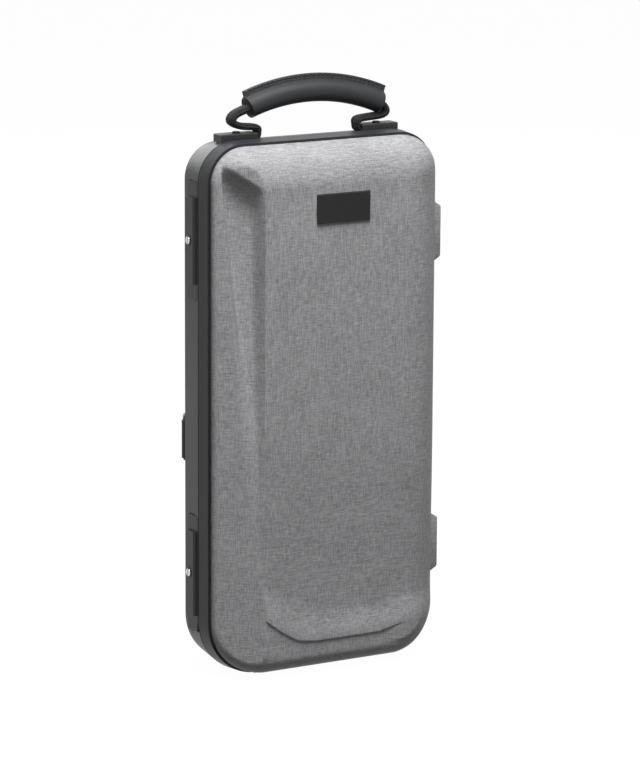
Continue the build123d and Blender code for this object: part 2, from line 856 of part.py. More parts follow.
with BuildPart() as handle_core:
    core_start = grip_right_angle + recess_angle
    with BuildLine(grip_plane):
        CenterArc((0, 0), grip_arc_radius, core_start, grip_sweep - 2 * recess_angle)
    with BuildSketch(grip_section_plane(core_start)):
        Circle(grip_core_radius)
    sweep()
finish(handle_core, "handle_core")

# Folded webbing between the grip's ends and the brackets
strap_plane = Plane(
    origin=(centre_x, seam_y + bracket_back, top_z),
    x_dir=(1, 0, 0),
    z_dir=(0, -1, 0),
)
tuck_angle = degrees(strap_tuck / grip_arc_radius)
strap_low_x = bracket_inner_x - tab_gap - strap_thickness / 2
strap_ends = (
    ("left", -1, grip_left_angle, (strap_left_out,), strap_left_low),
    ("right", 1, grip_right_angle, (strap_right_out, strap_right_back), strap_right_low),
)
for name, side, end_angle, fold_offsets, fold_low in strap_ends:
    end_x, end_y = grip_point(end_angle, grip_arc_radius)
    in_x, in_y = grip_point(end_angle + side * tuck_angle, grip_arc_radius)
    route = [(grip_centre_x + in_x, grip_low_z + in_y)]
    for offset_x, offset_z in fold_offsets:
        route.append((grip_centre_x + end_x + offset_x, grip_low_z + end_y + offset_z))
    route.append((side * strap_low_x, fold_low))
    route.append((side * strap_low_x, strap_end_rise))
    with BuildPart() as handle_strap:
        with BuildSketch(strap_plane):
            with BuildLine():
                FilletPolyline(*route, radius=strap_fold_radius)
            trace(line_width=strap_thickness)
        extrude(amount=strap_width / 2, both=True)
    finish(handle_strap, f"handle_strap_{name}")

# Lugs and rings for a carrying strap, behind the two long sides
lean_per_depth = back_shell_lean / back_shell_depth
lug_root_x = half_width - base_frame_inset - back_shell_step
lug_face_x = lug_root_x - lean_per_depth * (lug_back - base_frame_depth)
lug_x = lug_face_x + lug_offset
lug_front = base_frame_depth + lug_radius / 4
lug_end = lug_back + 2 * lug_radius
ring_half = lug_length / 2 + ring_wire_radius + ring_side_gap
lean_length = hypot(lean_per_depth, 1.0)


def wall_x(depth):
    """Half width of the back shell at a depth behind the seam."""
    return lug_root_x - lean_per_depth * (depth - base_frame_depth)


for side, name in bracket_sides:
    with BuildPart() as strap_lug:
        with BuildSketch(level_plane(lug_height_position - lug_length / 2)):
            with BuildLine():
                Polyline(
                    (side * wall_x(lug_front), lug_front),
                    (side * wall_x(lug_end), lug_end),
                    (side * (lug_x + lug_radius / 2), lug_back + lug_radius),
                    (side * (lug_x + lug_radius / 2), lug_back - lug_radius),
                    close=True,
                )
            make_face()
            with Locations((side * lug_x, lug_back)):
                Circle(lug_radius)
                Circle(ring_wire_radius + ring_clearance, mode=Mode.SUBTRACT)
            with BuildLine():
                Polyline(
                    (side * wall_x(base_frame_depth), base_frame_depth),
                    (side * wall_x(base_depth), base_depth),
                    (0, base_depth),
                    (0, base_frame_depth),
                    close=True,
                )
            make_face(mode=Mode.SUBTRACT)
        extrude(amount=lug_length)
    finish(strap_lug, f"strap_lug_{name}")

    lean_way = Vector(-side * lean_per_depth / lean_length, 1.0 / lean_length, 0)
    ring_centre = Vector(centre_x + side * lug_x, seam_y + lug_back, bottom_z + lug_height_position)
    ring_plane = Plane(origin=ring_centre, x_dir=lean_way, z_dir=lean_way.cross(Vector(0, 0, 1)))
    with BuildPart() as strap_ring:
        with BuildLine(ring_plane) as ring_path:
            FilletPolyline(
                (0, -ring_half),
                (ring_reach, -ring_half),
                (ring_reach, ring_half),
                (0, ring_half),
                close=True,
                radius=ring_corner_radius,
            )
        with BuildSketch(Plane(origin=ring_path.line @ 0, z_dir=ring_path.line % 0)):
            Circle(ring_wire_radius)
        sweep()
    finish(strap_ring, f"strap_ring_{name}")

# Padded insert: side and end bars, a floor and low walls between the wells
insert_bottom = base_depth - shell_wall
insert_floor_top = insert_bottom - insert_floor
step_depth = base_frame_depth - insert_clearance
insert_width = inner_width - 2 * insert_clearance
insert_height = inner_height - 2 * insert_clearance
insert_radius = inner_radius - insert_clearance
lower_inset = lean_per_depth * (insert_bottom - base_frame_depth) + shell_wall + insert_clearance
lower_width = back_root_width - 2 * lower_inset
lower_height = back_root_height - 2 * lower_inset
lower_radius = back_root_radius - lower_inset
well_low = well_bottom_margin - half_height
well_high = half_height - well_top_margin
side_bar_x = (well_half_width + half_width) / 2
side_bar_width = half_width - well_half_width
well_width = 2 * well_half_width
bars = (
    ("insert_side_left", -side_bar_x, 0, side_bar_width, case_height),
    ("insert_side_right", side_bar_x, 0, side_bar_width, case_height),
    ("insert_end_top", 0, (well_high + half_height) / 2, well_width, well_top_margin),
    ("insert_end_bottom", 0, (well_low - half_height) / 2, well_width, well_bottom_margin),
)
for label, bar_x, bar_z, bar_width, bar_height in bars:
    with BuildPart() as insert_bar:
        with BuildSketch(front_plane(-insert_top_gap)):
            rounded_outline(insert_width, insert_height, insert_radius)
            with Locations((bar_x, bar_z)):
                Rectangle(bar_width, bar_height, mode=Mode.INTERSECT)
        extrude(amount=insert_top_gap - step_depth)
        with BuildSketch(front_plane(-step_depth)):
            rounded_outline(lower_width, lower_height, lower_radius)
            with Locations((bar_x, bar_z)):
                Rectangle(bar_width, bar_height, mode=Mode.INTERSECT)
        extrude(amount=step_depth - insert_bottom)
    finish(insert_bar, label)

with BuildPart() as insert_floor_pad:
    with BuildSketch(front_plane(-insert_floor_top)):
        with Locations((0, (well_low + well_high) / 2)):
            Rectangle(well_width, well_high - well_low)
    extrude(amount=-insert_floor)
finish(insert_floor_pad, "insert_floor")

# Walls between the wells, each with its left, right, low and high edge
wall = divider_thickness
joints_right = lower_joint_width - well_half_width
tray_left = well_half_width - accessory_width
middle_right = tray_left - wall - slot_width
middle_left = middle_right - wall
bell_low = well_high - bell_length
tray_high = well_low + accessory_length
barrel_low = tray_high + wall
barrel_high = barrel_low + barrel_length
wall_edges = (
    ("divider_joints", joints_right, joints_right + wall, well_low, bell_low - wall),
    ("divider_bell", -well_half_width, middle_left, bell_low - wall, bell_low),
    ("divider_middle", middle_left, middle_right, well_low, well_high),
    ("divider_tray", tray_left - wall, tray_left, well_low, tray_high),
    ("divider_accessory", middle_right, well_half_width, tray_high, barrel_low),
    ("divider_barrel", middle_right, well_half_width, barrel_high, barrel_high + wall),
)

# The cover of the accessory tray turns on knuckles along the tray's wall
cover_axis_x = tray_left - wall / 2
cover_axis_back = divider_top_gap - cover_knuckle_radius - cover_gap / 2
cover_low = well_bottom_margin + cover_gap
cover_pin_length = accessory_length - cover_gap
cover_knuckle_length = cover_pin_length * cover_knuckle_share
cover_knuckles = (cover_low, cover_low + cover_pin_length - cover_knuckle_length)
cover_left = cover_axis_x + cover_knuckle_radius + cover_gap
cover_right = well_half_width - cover_gap
cover_bottom = well_low + cover_gap
cover_top = tray_high + cover_rest
cover_back = divider_top_gap - cover_gap / 2
cover_face = cover_back - cover_thickness

for label, wall_left, wall_right, wall_low, wall_high in wall_edges:
    with BuildPart() as divider:
        with BuildSketch(front_plane(-divider_top_gap)):
            with Locations(((wall_left + wall_right) / 2, (wall_low + wall_high) / 2)):
                Rectangle(wall_right - wall_left, wall_high - wall_low)
        extrude(amount=divider_top_gap - insert_floor_top)
        if label == "divider_tray":
            for knuckle_low in cover_knuckles:
                with BuildSketch(level_plane(knuckle_low)):
                    with Locations((cover_axis_x, cover_axis_back)):
                        Circle(cover_knuckle_radius)
                        Rectangle(
                            2 * cover_knuckle_radius,
                            2 * cover_knuckle_radius,
                            align=(Align.CENTER, Align.MIN),
                        )
                        Circle(cover_pin_radius, mode=Mode.SUBTRACT)
                extrude(amount=cover_knuckle_length)
    finish(divider, label)

with BuildPart() as accessory_cover:
    with BuildSketch(front_plane(-cover_face)):
        with Locations(((cover_left + cover_right) / 2, (cover_bottom + cover_top) / 2)):
            Rectangle(cover_right - cover_left, cover_top - cover_bottom)
    extrude(amount=-cover_thickness)
    with BuildSketch(level_plane(cover_low + cover_knuckle_length + cover_gap)):
        with Locations((cover_axis_x, cover_axis_back)):
            Circle(cover_knuckle_radius)
        with Locations((cover_axis_x, (cover_face + cover_back) / 2)):
            Rectangle(cover_left - cover_axis_x, cover_thickness, align=(Align.MIN, Align.CENTER))
        with Locations((cover_axis_x, cover_axis_back)):
            Circle(cover_pin_radius + cover_pin_clearance, mode=Mode.SUBTRACT)
    extrude(amount=cover_pin_length - 2 * (cover_knuckle_length + cover_gap))
    # pull tab on the free edge
    with BuildSketch(front_plane(-cover_face)):
        with Locations((cover_right - pull_tab_length / 2, (cover_bottom + cover_top) / 2)):
            Rectangle(pull_tab_length, pull_tab_width)
    extrude(amount=pull_tab_thickness)
finish(accessory_cover, "accessory_cover")

with BuildPart() as cover_pin:
    with BuildSketch(level_plane(cover_low)):
        with Locations((cover_axis_x, cover_axis_back)):
            Circle(cover_pin_radius)
    extrude(amount=cover_pin_length)
finish(cover_pin, "cover_pin")
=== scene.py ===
import math

import bmesh
import bpy
from mathutils import Matrix, Vector


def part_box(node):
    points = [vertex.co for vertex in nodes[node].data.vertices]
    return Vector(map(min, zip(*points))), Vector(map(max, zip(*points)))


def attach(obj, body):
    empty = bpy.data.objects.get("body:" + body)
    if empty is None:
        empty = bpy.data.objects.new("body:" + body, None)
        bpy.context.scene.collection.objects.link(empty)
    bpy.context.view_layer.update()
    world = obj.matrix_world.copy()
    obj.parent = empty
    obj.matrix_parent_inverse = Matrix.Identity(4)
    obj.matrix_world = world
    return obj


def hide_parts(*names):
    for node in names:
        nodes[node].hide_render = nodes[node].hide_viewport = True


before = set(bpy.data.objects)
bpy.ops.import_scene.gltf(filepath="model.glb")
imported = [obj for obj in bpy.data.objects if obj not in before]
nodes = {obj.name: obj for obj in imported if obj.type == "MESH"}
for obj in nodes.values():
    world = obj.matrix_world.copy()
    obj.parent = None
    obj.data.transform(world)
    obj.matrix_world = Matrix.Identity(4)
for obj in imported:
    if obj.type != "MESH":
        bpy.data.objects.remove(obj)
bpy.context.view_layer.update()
scene = bpy.context.scene

# The camera stands a little above the case, off its left front corner, with a long lens.
# The place and the turns were fitted to the case's corners in the photograph.
camera_data = bpy.data.cameras.new("camera")
camera_data.lens = 180.97
camera_data.sensor_width = 36.0
camera_data.clip_end = 40.0
camera = bpy.data.objects.new("camera", camera_data)
scene.collection.objects.link(camera)
CAMERA_PLACE = (-1.5378, -2.6248, 0.8567)
azimuth, pitch, roll = math.radians(30.52), math.radians(11.69), math.radians(0.296)
level = Vector((math.sin(azimuth), math.cos(azimuth), 0))
aside = Vector((math.cos(azimuth), -math.sin(azimuth), 0))
up = Vector((0, 0, 1))
forward = level * math.cos(pitch) - up * math.sin(pitch)
over = up * math.cos(pitch) + level * math.sin(pitch)
right = aside * math.cos(roll) + over * math.sin(roll)
top = over * math.cos(roll) - aside * math.sin(roll)
turned = Matrix((right, top, -forward)).transposed().to_4x4()
camera.matrix_world = Matrix.Translation(CAMERA_PLACE) @ turned
scene.camera = camera
scene.view_settings.view_transform = "Standard"

# Studio: a white floor and air that the camera and any gloss see as white, one wide lamp
# overhead, a weak low one in front and one behind, so that the lid's slopes show.
FLOOR_HALF = 6.0
FLOOR_SHADE = 0.06
FLOOR_GLOW = 0.98
AIR_LIGHT = 0.06
WHITE = (1, 1, 1, 1)


def new_node(tree, kind, **settings):
    """A node with some of its settings."""
    node = tree.nodes.new(kind)
    for key, value in settings.items():
        setattr(node, key, value)
    return node


def white_to_camera(tree, output, lit, white):
    """Shows the white shader to camera, glossy and see-through rays, and the lit one to others."""
    ray = new_node(tree, "ShaderNodeLightPath")
    first = new_node(tree, "ShaderNodeMath", operation="MAXIMUM")
    second = new_node(tree, "ShaderNodeMath", operation="MAXIMUM")
    choice = new_node(tree, "ShaderNodeMixShader")
    tree.links.new(ray.outputs["Is Camera Ray"], first.inputs[0])
    tree.links.new(ray.outputs["Is Glossy Ray"], first.inputs[1])
    tree.links.new(first.outputs[0], second.inputs[0])
    tree.links.new(ray.outputs["Is Transmission Ray"], second.inputs[1])
    tree.links.new(second.outputs[0], choice.inputs[0])
    tree.links.new(lit, choice.inputs[1])
    tree.links.new(white, choice.inputs[2])
    tree.links.new(choice.outputs[0], output)


floor_mesh = bpy.data.meshes.new("studio_floor")
floor_form = bmesh.new()
bmesh.ops.create_grid(floor_form, x_segments=2, y_segments=2, size=FLOOR_HALF)
floor_form.to_mesh(floor_mesh)
floor_form.free()
floor = bpy.data.objects.new("studio_floor", floor_mesh)
scene.collection.objects.link(floor)
floor_paint = bpy.data.materials.new("studio_white")
floor_paint.use_nodes = True
tree = floor_paint.node_tree
tree.nodes.clear()
out = new_node(tree, "ShaderNodeOutputMaterial")
pale = new_node(tree, "ShaderNodeBsdfDiffuse")
pale.inputs["Color"].default_value = (FLOOR_SHADE, FLOOR_SHADE, FLOOR_SHADE, 1)
glow = new_node(tree, "ShaderNodeEmission")
glow.inputs["Strength"].default_value = FLOOR_GLOW
both = new_node(tree, "ShaderNodeAddShader")
tree.links.new(pale.outputs[0], both.inputs[0])
tree.links.new(glow.outputs[0], both.inputs[1])
white_to_camera(tree, out.inputs["Surface"], pale.outputs[0], both.outputs[0])
floor_mesh.materials.append(floor_paint)

world = bpy.data.worlds.new("studio_air")
scene.world = world
world.use_nodes = True
tree = world.node_tree
tree.nodes.clear()
out = new_node(tree, "ShaderNodeOutputWorld")
air = new_node(tree, "ShaderNodeBackground")
air.inputs["Color"].default_value = WHITE
air.inputs["Strength"].default_value = AIR_LIGHT
seen_air = new_node(tree, "ShaderNodeBackground")
seen_air.inputs["Color"].default_value = WHITE
white_to_camera(tree, out.inputs["Surface"], air.outputs[0], seen_air.outputs[0])


def softbox(name, place, aim, size, power):
    """A flat lamp at a place, turned to its aim; size in metres and power in watts."""
    lamp = bpy.data.lights.new(name, "AREA")
    lamp.shape = "RECTANGLE"
    lamp.size, lamp.size_y = size
    lamp.energy = power
    holder = bpy.data.objects.new(name, lamp)
    scene.collection.objects.link(holder)
    holder.location = place
    holder.rotation_euler = (Vector(aim) - Vector(place)).to_track_quat("-Z", "Y").to_euler()


softbox("lamp_above", (-0.22, -0.66, 2.0), (0, 0, 0.2), (0.9, 0.8), 65)
softbox("lamp_front", (-0.90, -2.3, 0.25), (0, 0, 0.10), (1.6, 0.4), 7)
softbox("lamp_back", (0.10, 2.6, 1.2), (0, 0, 0.22), (1.6, 1.2), 22)

# Base frame: the black moulded rim of the rear half, a satin plastic with a very fine
# spark texture from the mould, its edges slightly rounded.
CENTRE_X, SEAM_Y, FOOT_Z = -0.8, -4.7, 0.5
SHARP_ANGLE = math.radians(32)
HARD_ANGLE = math.radians(28.0)
FLAT_ANGLE = math.radians(0.6)
SAME_PLACE = 1e-5


def at(x, depth, z):
    """A place in metres from mm across, in front of the seam and above the case's bottom."""
    return Vector((x + CENTRE_X, SEAM_Y - depth, z + FOOT_Z)) / 1000


def new_piece(name, form, paint, body, stands_for=()):
    """Makes a finished bmesh one piece of the case that rides on a body."""
    mesh = bpy.data.meshes.new(name)
    form.to_mesh(mesh)
    form.free()
    mesh.shade_smooth()
    mesh.set_sharp_from_angle(angle=SHARP_ANGLE)
    mesh.materials.append(paint)
    piece = bpy.data.objects.new(name, mesh)
    scene.collection.objects.link(piece)
    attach(piece, body)
    if stands_for:
        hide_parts(*stands_for)
    return piece


def effect(name, inputs, outputs):
    """An empty shader group with named sockets: (group, its input node, its output node)."""
    group = bpy.data.node_groups.new(name, "ShaderNodeTree")
    for label, kind, value in inputs:
        socket = group.interface.new_socket(label, in_out="INPUT", socket_type=kind)
        if value is not None:
            socket.default_value = value
    for label, kind in outputs:
        group.interface.new_socket(label, in_out="OUTPUT", socket_type=kind)
    return group, new_node(group, "NodeGroupInput"), new_node(group, "NodeGroupOutput")


def math_node(tree, operation, first, second=None, third=None):
    """The output of a Math node; numbers are set and sockets are linked."""
    node = new_node(tree, "ShaderNodeMath", operation=operation)
    for place, value in enumerate((first, second, third)):
        if value is None:
            continue
        if isinstance(value, (int, float)):
            node.inputs[place].default_value = value
        else:
            tree.links.new(value, node.inputs[place])
    return node.outputs[0]


def noise(tree, place, scale, detail, rough=0.5, stretch=None):
    """The value of a Noise texture at a place, its scale a socket, stretched if asked."""
    if stretch is not None:
        squeeze = new_node(tree, "ShaderNodeMapping")
        squeeze.inputs["Scale"].default_value = stretch
        tree.links.new(place, squeeze.inputs["Vector"])
        place = squeeze.outputs[0]
    texture = new_node(tree, "ShaderNodeTexNoise")
    texture.inputs["Detail"].default_value = detail
    texture.inputs["Roughness"].default_value = rough
    tree.links.new(scale, texture.inputs["Scale"])
    tree.links.new(place, texture.inputs["Vector"])
    return texture.outputs["Fac"]


def scaled(tree, entry, cells):
    """The Scale of a group's input node times a number of cells to the metre."""
    return math_node(tree, "MULTIPLY", entry.outputs["Scale"], cells)


def blend(tree, first, first_share, second, second_share):
    """Two patterns added up, each by its share."""
    rest = math_node(tree, "MULTIPLY", second, second_share)
    return math_node(tree, "MULTIPLY_ADD", first, first_share, rest)


PLACE_AND_SCALE = (
    ("Place", "NodeSocketVector", None),
    ("Scale", "NodeSocketFloat", 1.0),
)
SHADE_AND_HEIGHT = (("Shade", "NodeSocketFloat"), ("Height", "NodeSocketFloat"))
SHADE_RANGE = (0.25, 0.75)

grain_group, grain_in, grain_out = effect("mould_grain", PLACE_AND_SCALE, SHADE_AND_HEIGHT)
grain_place = grain_in.outputs["Place"]
fine = noise(grain_group, grain_place, scaled(grain_group, grain_in, 2600.0), 1.0)
pebble = noise(grain_group, grain_place, scaled(grain_group, grain_in, 1100.0), 2.0)
smudge = noise(grain_group, grain_place, scaled(grain_group, grain_in, 14.0), 3.0, 0.6)
grain_group.links.new(blend(grain_group, smudge, 0.7, pebble, 0.3), grain_out.inputs["Shade"])
grain_group.links.new(blend(grain_group, pebble, 0.6, fine, 0.4), grain_out.inputs["Height"])


def surface(name, group, scale, dark, light, rough, bump, metal=0.0, values=(), place="Object"):
    """A finish whose colour, roughness and relief all follow one effect group.

    dark and light are the two colours, rough the two roughnesses, and bump the relief's
    strength and its depth in metres. values are more settings of the shader.
    """
    paint = bpy.data.materials.new(name)
    paint.use_nodes = True
    tree = paint.node_tree
    shader = tree.nodes["Principled BSDF"]
    coordinates = new_node(tree, "ShaderNodeTexCoord")
    pattern = new_node(tree, "ShaderNodeGroup", node_tree=group)
    pattern.inputs["Scale"].default_value = scale
    tree.links.new(coordinates.outputs[place], pattern.inputs["Place"])
    colours = new_node(tree, "ShaderNodeValToRGB")
    for stop, position, colour in zip(colours.color_ramp.elements, SHADE_RANGE, (dark, light)):
        stop.position = position
        stop.color = (*colour, 1)
    tree.links.new(pattern.outputs["Shade"], colours.inputs["Fac"])
    tree.links.new(colours.outputs["Color"], shader.inputs["Base Color"])
    roughs = new_node(tree, "ShaderNodeMapRange")
    roughs.inputs["From Min"].default_value = SHADE_RANGE[0]
    roughs.inputs["From Max"].default_value = SHADE_RANGE[1]
    roughs.inputs["To Min"].default_value = rough[0]
    roughs.inputs["To Max"].default_value = rough[1]
    tree.links.new(pattern.outputs["Shade"], roughs.inputs["Value"])
    tree.links.new(roughs.outputs["Result"], shader.inputs["Roughness"])
    relief = new_node(tree, "ShaderNodeBump")
    relief.inputs["Strength"].default_value = bump[0]
    relief.inputs["Distance"].default_value = bump[1]
    tree.links.new(pattern.outputs["Height"], relief.inputs["Height"])
    tree.links.new(relief.outputs["Normal"], shader.inputs["Normal"])
    shader.inputs["Metallic"].default_value = metal
    for socket, value in values:
        shader.inputs[socket].default_value = value
    return paint


def round_edges(form, edges, width, steps):
    """Rounds some edges of a form, as far as their neighbours leave room."""
    bmesh.ops.bevel(
        form, geom=edges, offset=width, offset_type="OFFSET", segments=steps, profile=0.5,
        affect="EDGES", clamp_overlap=True, material=-1,
    )


def softened(name, node, paint, body, width, steps=2, gap=0.0, gap_axes=(1, 2)):
    """A copy of a node's solid with its hard edges rounded, standing for the node.

    A gap draws it in from the edges of its seat, which leaves a dark line round it.
    """
    form = bmesh.new()
    form.from_mesh(nodes[node].data)
    bmesh.ops.remove_doubles(form, verts=form.verts, dist=SAME_PLACE)
    if gap:
        least, most = (Vector(corner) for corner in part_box(node))
        centre, size = (least + most) / 2, most - least
        for vert in form.verts:
            for axis in gap_axes:
                share = 1 - 2 * gap / size[axis]
                vert.co[axis] = centre[axis] + (vert.co[axis] - centre[axis]) * share
    bmesh.ops.dissolve_limit(form, angle_limit=FLAT_ANGLE, verts=form.verts, edges=form.edges)
    hard = [
        edge
        for edge in form.edges
        if len(edge.link_faces) == 2 and edge.calc_face_angle(0) > HARD_ANGLE
    ]
    round_edges(form, hard, width, steps)
    piece = new_piece(name, form, paint, body, (node,))
    flats = piece.modifiers.new("flat_faces", "WEIGHTED_NORMAL")
    flats.keep_sharp = True
    return piece


frame_paint = surface(
    "satin_black_frame", grain_group, 1.0, (0.019, 0.020, 0.022), (0.027, 0.028, 0.031),
    (0.36, 0.46), (0.25, 0.00012), values=(("Specular IOR Level", 0.22),),
)
softened("rim_of_base", "base_frame", frame_paint, "base", 0.0011, 3)

# Back shell of the base: a shallow tray pressed from silver-grey sheet whose face has a
# woven linen relief and a light satin sheen. It is fixed behind the frame.
SILVER_DARK = (0.190, 0.190, 0.196)
SILVER_LIGHT = (0.380, 0.380, 0.388)
THREADS = 6900.0
SLUB_ALONG, SLUB_ACROSS = 150, 1500
CLOUDS, CLOUD_SHARE = (26, 26, 26), 0.22
CROSSING_SHADE, CROSSING_RELIEF = 0.04, 0.15

linen_group, linen_in, linen_out = effect("woven_linen", PLACE_AND_SCALE, SHADE_AND_HEIGHT)
cloth_place = linen_in.outputs["Place"]
cloth_scale = linen_in.outputs["Scale"]
weft_slub = noise(
    linen_group, cloth_place, cloth_scale, 2.0, 0.6, (SLUB_ALONG, SLUB_ALONG, SLUB_ACROSS)
)
warp_slub = noise(
    linen_group, cloth_place, cloth_scale, 2.0, 0.6, (SLUB_ACROSS, SLUB_ACROSS, SLUB_ALONG)
)
cloud = noise(linen_group, cloth_place, cloth_scale, 2.0, 0.5, CLOUDS)
thread_parts = new_node(linen_group, "ShaderNodeSeparateXYZ")
linen_group.links.new(cloth_place, thread_parts.inputs[0])
across = math_node(linen_group, "ADD", thread_parts.outputs["X"], thread_parts.outputs["Y"])
weft = math_node(linen_group, "SINE", math_node(
    linen_group, "MULTIPLY", thread_parts.outputs["Z"], THREADS))
warp = math_node(linen_group, "SINE", math_node(linen_group, "MULTIPLY", across, THREADS))
crossing = math_node(linen_group, "MULTIPLY", weft, warp)
slub = math_node(linen_group, "ADD", weft_slub, warp_slub)
threads = math_node(linen_group, "MULTIPLY_ADD", math_node(
    linen_group, "SUBTRACT", slub, 1.0), 1.0, 0.5)
woven = math_node(linen_group, "MULTIPLY_ADD", crossing, CROSSING_SHADE, threads)
clouded = math_node(
    linen_group, "MULTIPLY_ADD", math_node(linen_group, "SUBTRACT", cloud, 0.5), CLOUD_SHARE, woven
)
raised = math_node(linen_group, "MULTIPLY_ADD", crossing, CROSSING_RELIEF, slub)
linen_group.links.new(clouded, linen_out.inputs["Shade"])
linen_group.links.new(raised, linen_out.inputs["Height"])
linen_paint = surface(
    "silver_linen", linen_group, 1.0, SILVER_DARK, SILVER_LIGHT, (0.44, 0.58),
    (0.35, 0.0003),
    values=(("Sheen Weight", 0.05), ("Sheen Roughness", 0.4), ("Specular IOR Level", 0.15)),
)
softened("tray_of_base", "base_shell", linen_paint, "base", 0.0008)

# Rubber studs behind and low pads under the case, for it to lie and stand on. They are
# moulded of matt black rubber and pressed into shallow seats.
rubber_paint = surface(
    "matt_rubber", grain_group, 0.7, (0.012, 0.012, 0.013), (0.022, 0.022, 0.023),
    (0.72, 0.86), (0.35, 0.0002), values=(("Specular IOR Level", 0.25),),
)
for number in range(1, 5):
    softened(f"stud_{number}", f"back_foot_{number}", rubber_paint, "base", 0.0004)
for row in ("base", "lid"):
    for side in ("left", "right"):
        softened(
            f"pad_{row}_{side}", f"{row}_foot_{side}", rubber_paint, row, 0.0002
        )

# Lid frame: the thinner black rim of the front half, the same satin plastic, with a soft
# black seal cord pressed into the base's groove where the two rims meet.
softened(
    "rim_of_lid", "lid_frame", frame_paint, "lid", 0.0011, 3, gap=0.0008,
    gap_axes=(1,),
)
softened("seal_cord", "rim_seal", rubber_paint, "base", 0.0003)

# Lid shell: one pressed silver linen skin. Its top and right side are long rounds, the left
# is a flat facet with a shallow scoop at its upper end, and the panel flares out to a lip
# above a low band. Raised humps cover the two hinges.
HALF_WIDTH, HALF_HEIGHT = 101.0, 212.0
CORNER, LOW_CORNER = 29.0, 43.0
MIDDLE_Z = 215.0
RIM_DEPTH = 15.0
PANEL_DEPTH = 41.0
PANEL_LEFT, PANEL_RIGHT = -66.4, 64.5
PANEL_TOP = 394.0
PANEL_SINK = 2.6
LIP_DEPTH = 41.6
BAND_DEPTH = 40.4
LIP_Z = 28.0
LIP_BEND_X = -36.0
LIP_CORNER = (-66.4, 51.0)
LIP_ROUND, LIP_STEP = 14.0, 0.55
LIP_LIFT, LIFT_X, LIFT_REACH = 5.0, 38.0, 30.0
FADE_X, FADE_REACH = 42.0, 26.0
SINK_Z, SINK_REACH = 190.0, 130.0
SLANT = (0.603, 0, 0.798)
CREASE_X, CREASE_Z, CREASE_LINES = (-68.0, -34.5), (26.5, 52.5), (-0.28, 0.0, 0.28)
RAMP = 25.0
TOP_CORNER_POWER = 2.6
BOTTOM_DEPTH, BOTTOM_RISE = 20.0, 14.0
LEFT_WALL = 20.5
LEFT_ROUND = 5.0
RIGHT_OVERRUN = 0.8
SKIN = 0.0028
# The scoop: its depth and how it fades downwards, its slanted upper end, its border on the
# left, its crest along the panel, and how near it may come to the rim.
SCOOP_DEPTH, SCOOP_LOW_Z, SCOOP_FADE = 16.0, 90.0, 370.0
CEILING_SLANT, CEILING_RAISE, CEILING_REACH = (0.58, 0.815), 1.5, 21.0
BORDER_X, BORDER_Z, BORDER_LEAN = -97.0, 416.0, 0.065
BORDER_SOFT, BORDER_SPREAD = 4.5, 0.04
CEILING_POWER, FADE_POWER = 1.1, 0.8
CREST_LESS, CREST_PAST, CREST_SOFT = 0.15, 0.4, 5.0
SCOOP_STOP, SCOOP_ROOM = 1.5, 0.1


def ease(value):
    """0 below 0, 1 above 1, and a smooth rise between them."""
    value = min(max(value, 0.0), 1.0)
    return value * value * (3 - 2 * value)


def swell(share):
    """Height of a quarter round at a share of its reach, 1 at 0 and 0 at 1."""
    return math.sqrt(max(0.0, 1 - min(max(share, 0.0), 1.0) ** 2))


def lip_line(x, z):
    """How far a place lies above the panel's lower lip, along its slanted corner too."""
    rise_x, rise_z = LIP_CORNER[1] - LIP_Z, LIP_BEND_X - LIP_CORNER[0]
    length = math.hypot(rise_x, rise_z)
    slant = (rise_x * (x - LIP_BEND_X) + rise_z * (z - LIP_Z)) / length
    lift = LIP_LIFT * ease((x - LIFT_X) / LIFT_REACH)
    level = z - LIP_Z - lift
    near = max(0.0, 1 - abs(level - slant) / LIP_ROUND)
    return min(level, slant) - LIP_ROUND * near**3 / 6


def sink(z):
    """How far the panel sinks towards its lower end, at a height."""
    return PANEL_SINK * ease((SINK_Z - z) / SINK_REACH)


def panel_face(x, z):
    """Depth of the panel and of the band below it."""
    above = lip_line(x, z)
    fade = 1 - ease((x - FADE_X) / FADE_REACH)
    sunk = PANEL_DEPTH - sink(z)
    lip = sunk + (LIP_DEPTH - sunk) * ease(1 - above / RAMP)
    band = BAND_DEPTH + (1 - fade) * (LIP_DEPTH - BAND_DEPTH)
    return band + (lip - band) * ease(above / LIP_STEP + 0.5)


def scoop_cut(x, z, depth):
    """How far the scoop cuts in at a place of the left facet, given the facet's depth there."""
    over, drop = x - PANEL_LEFT, z - PANEL_TOP - CEILING_RAISE
    below = -CEILING_SLANT[0] * over - CEILING_SLANT[1] * drop
    if x >= PANEL_LEFT or below <= 0:
        return 0.0
    down = BORDER_Z - z
    border = BORDER_X + BORDER_LEAN * down
    inward = min(1.0, max(0.0, (x - border) / (PANEL_LEFT - border)))
    cut = (
        SCOOP_DEPTH
        * ease((z - SCOOP_LOW_Z) / SCOOP_FADE) ** FADE_POWER
        * math.sin(math.pi / 2 * min(1.0, below / CEILING_REACH)) ** CEILING_POWER
        * ease((x - border) / (BORDER_SOFT + BORDER_SPREAD * down))
        * (1.0 - CREST_LESS * inward)
        * ease((PANEL_LEFT + CREST_PAST - x) / CREST_SOFT)
    )
    room = max(SCOOP_ROOM, depth - RIM_DEPTH - SCOOP_STOP)
    return cut * room / (cut**3 + room**3) ** (1 / 3)


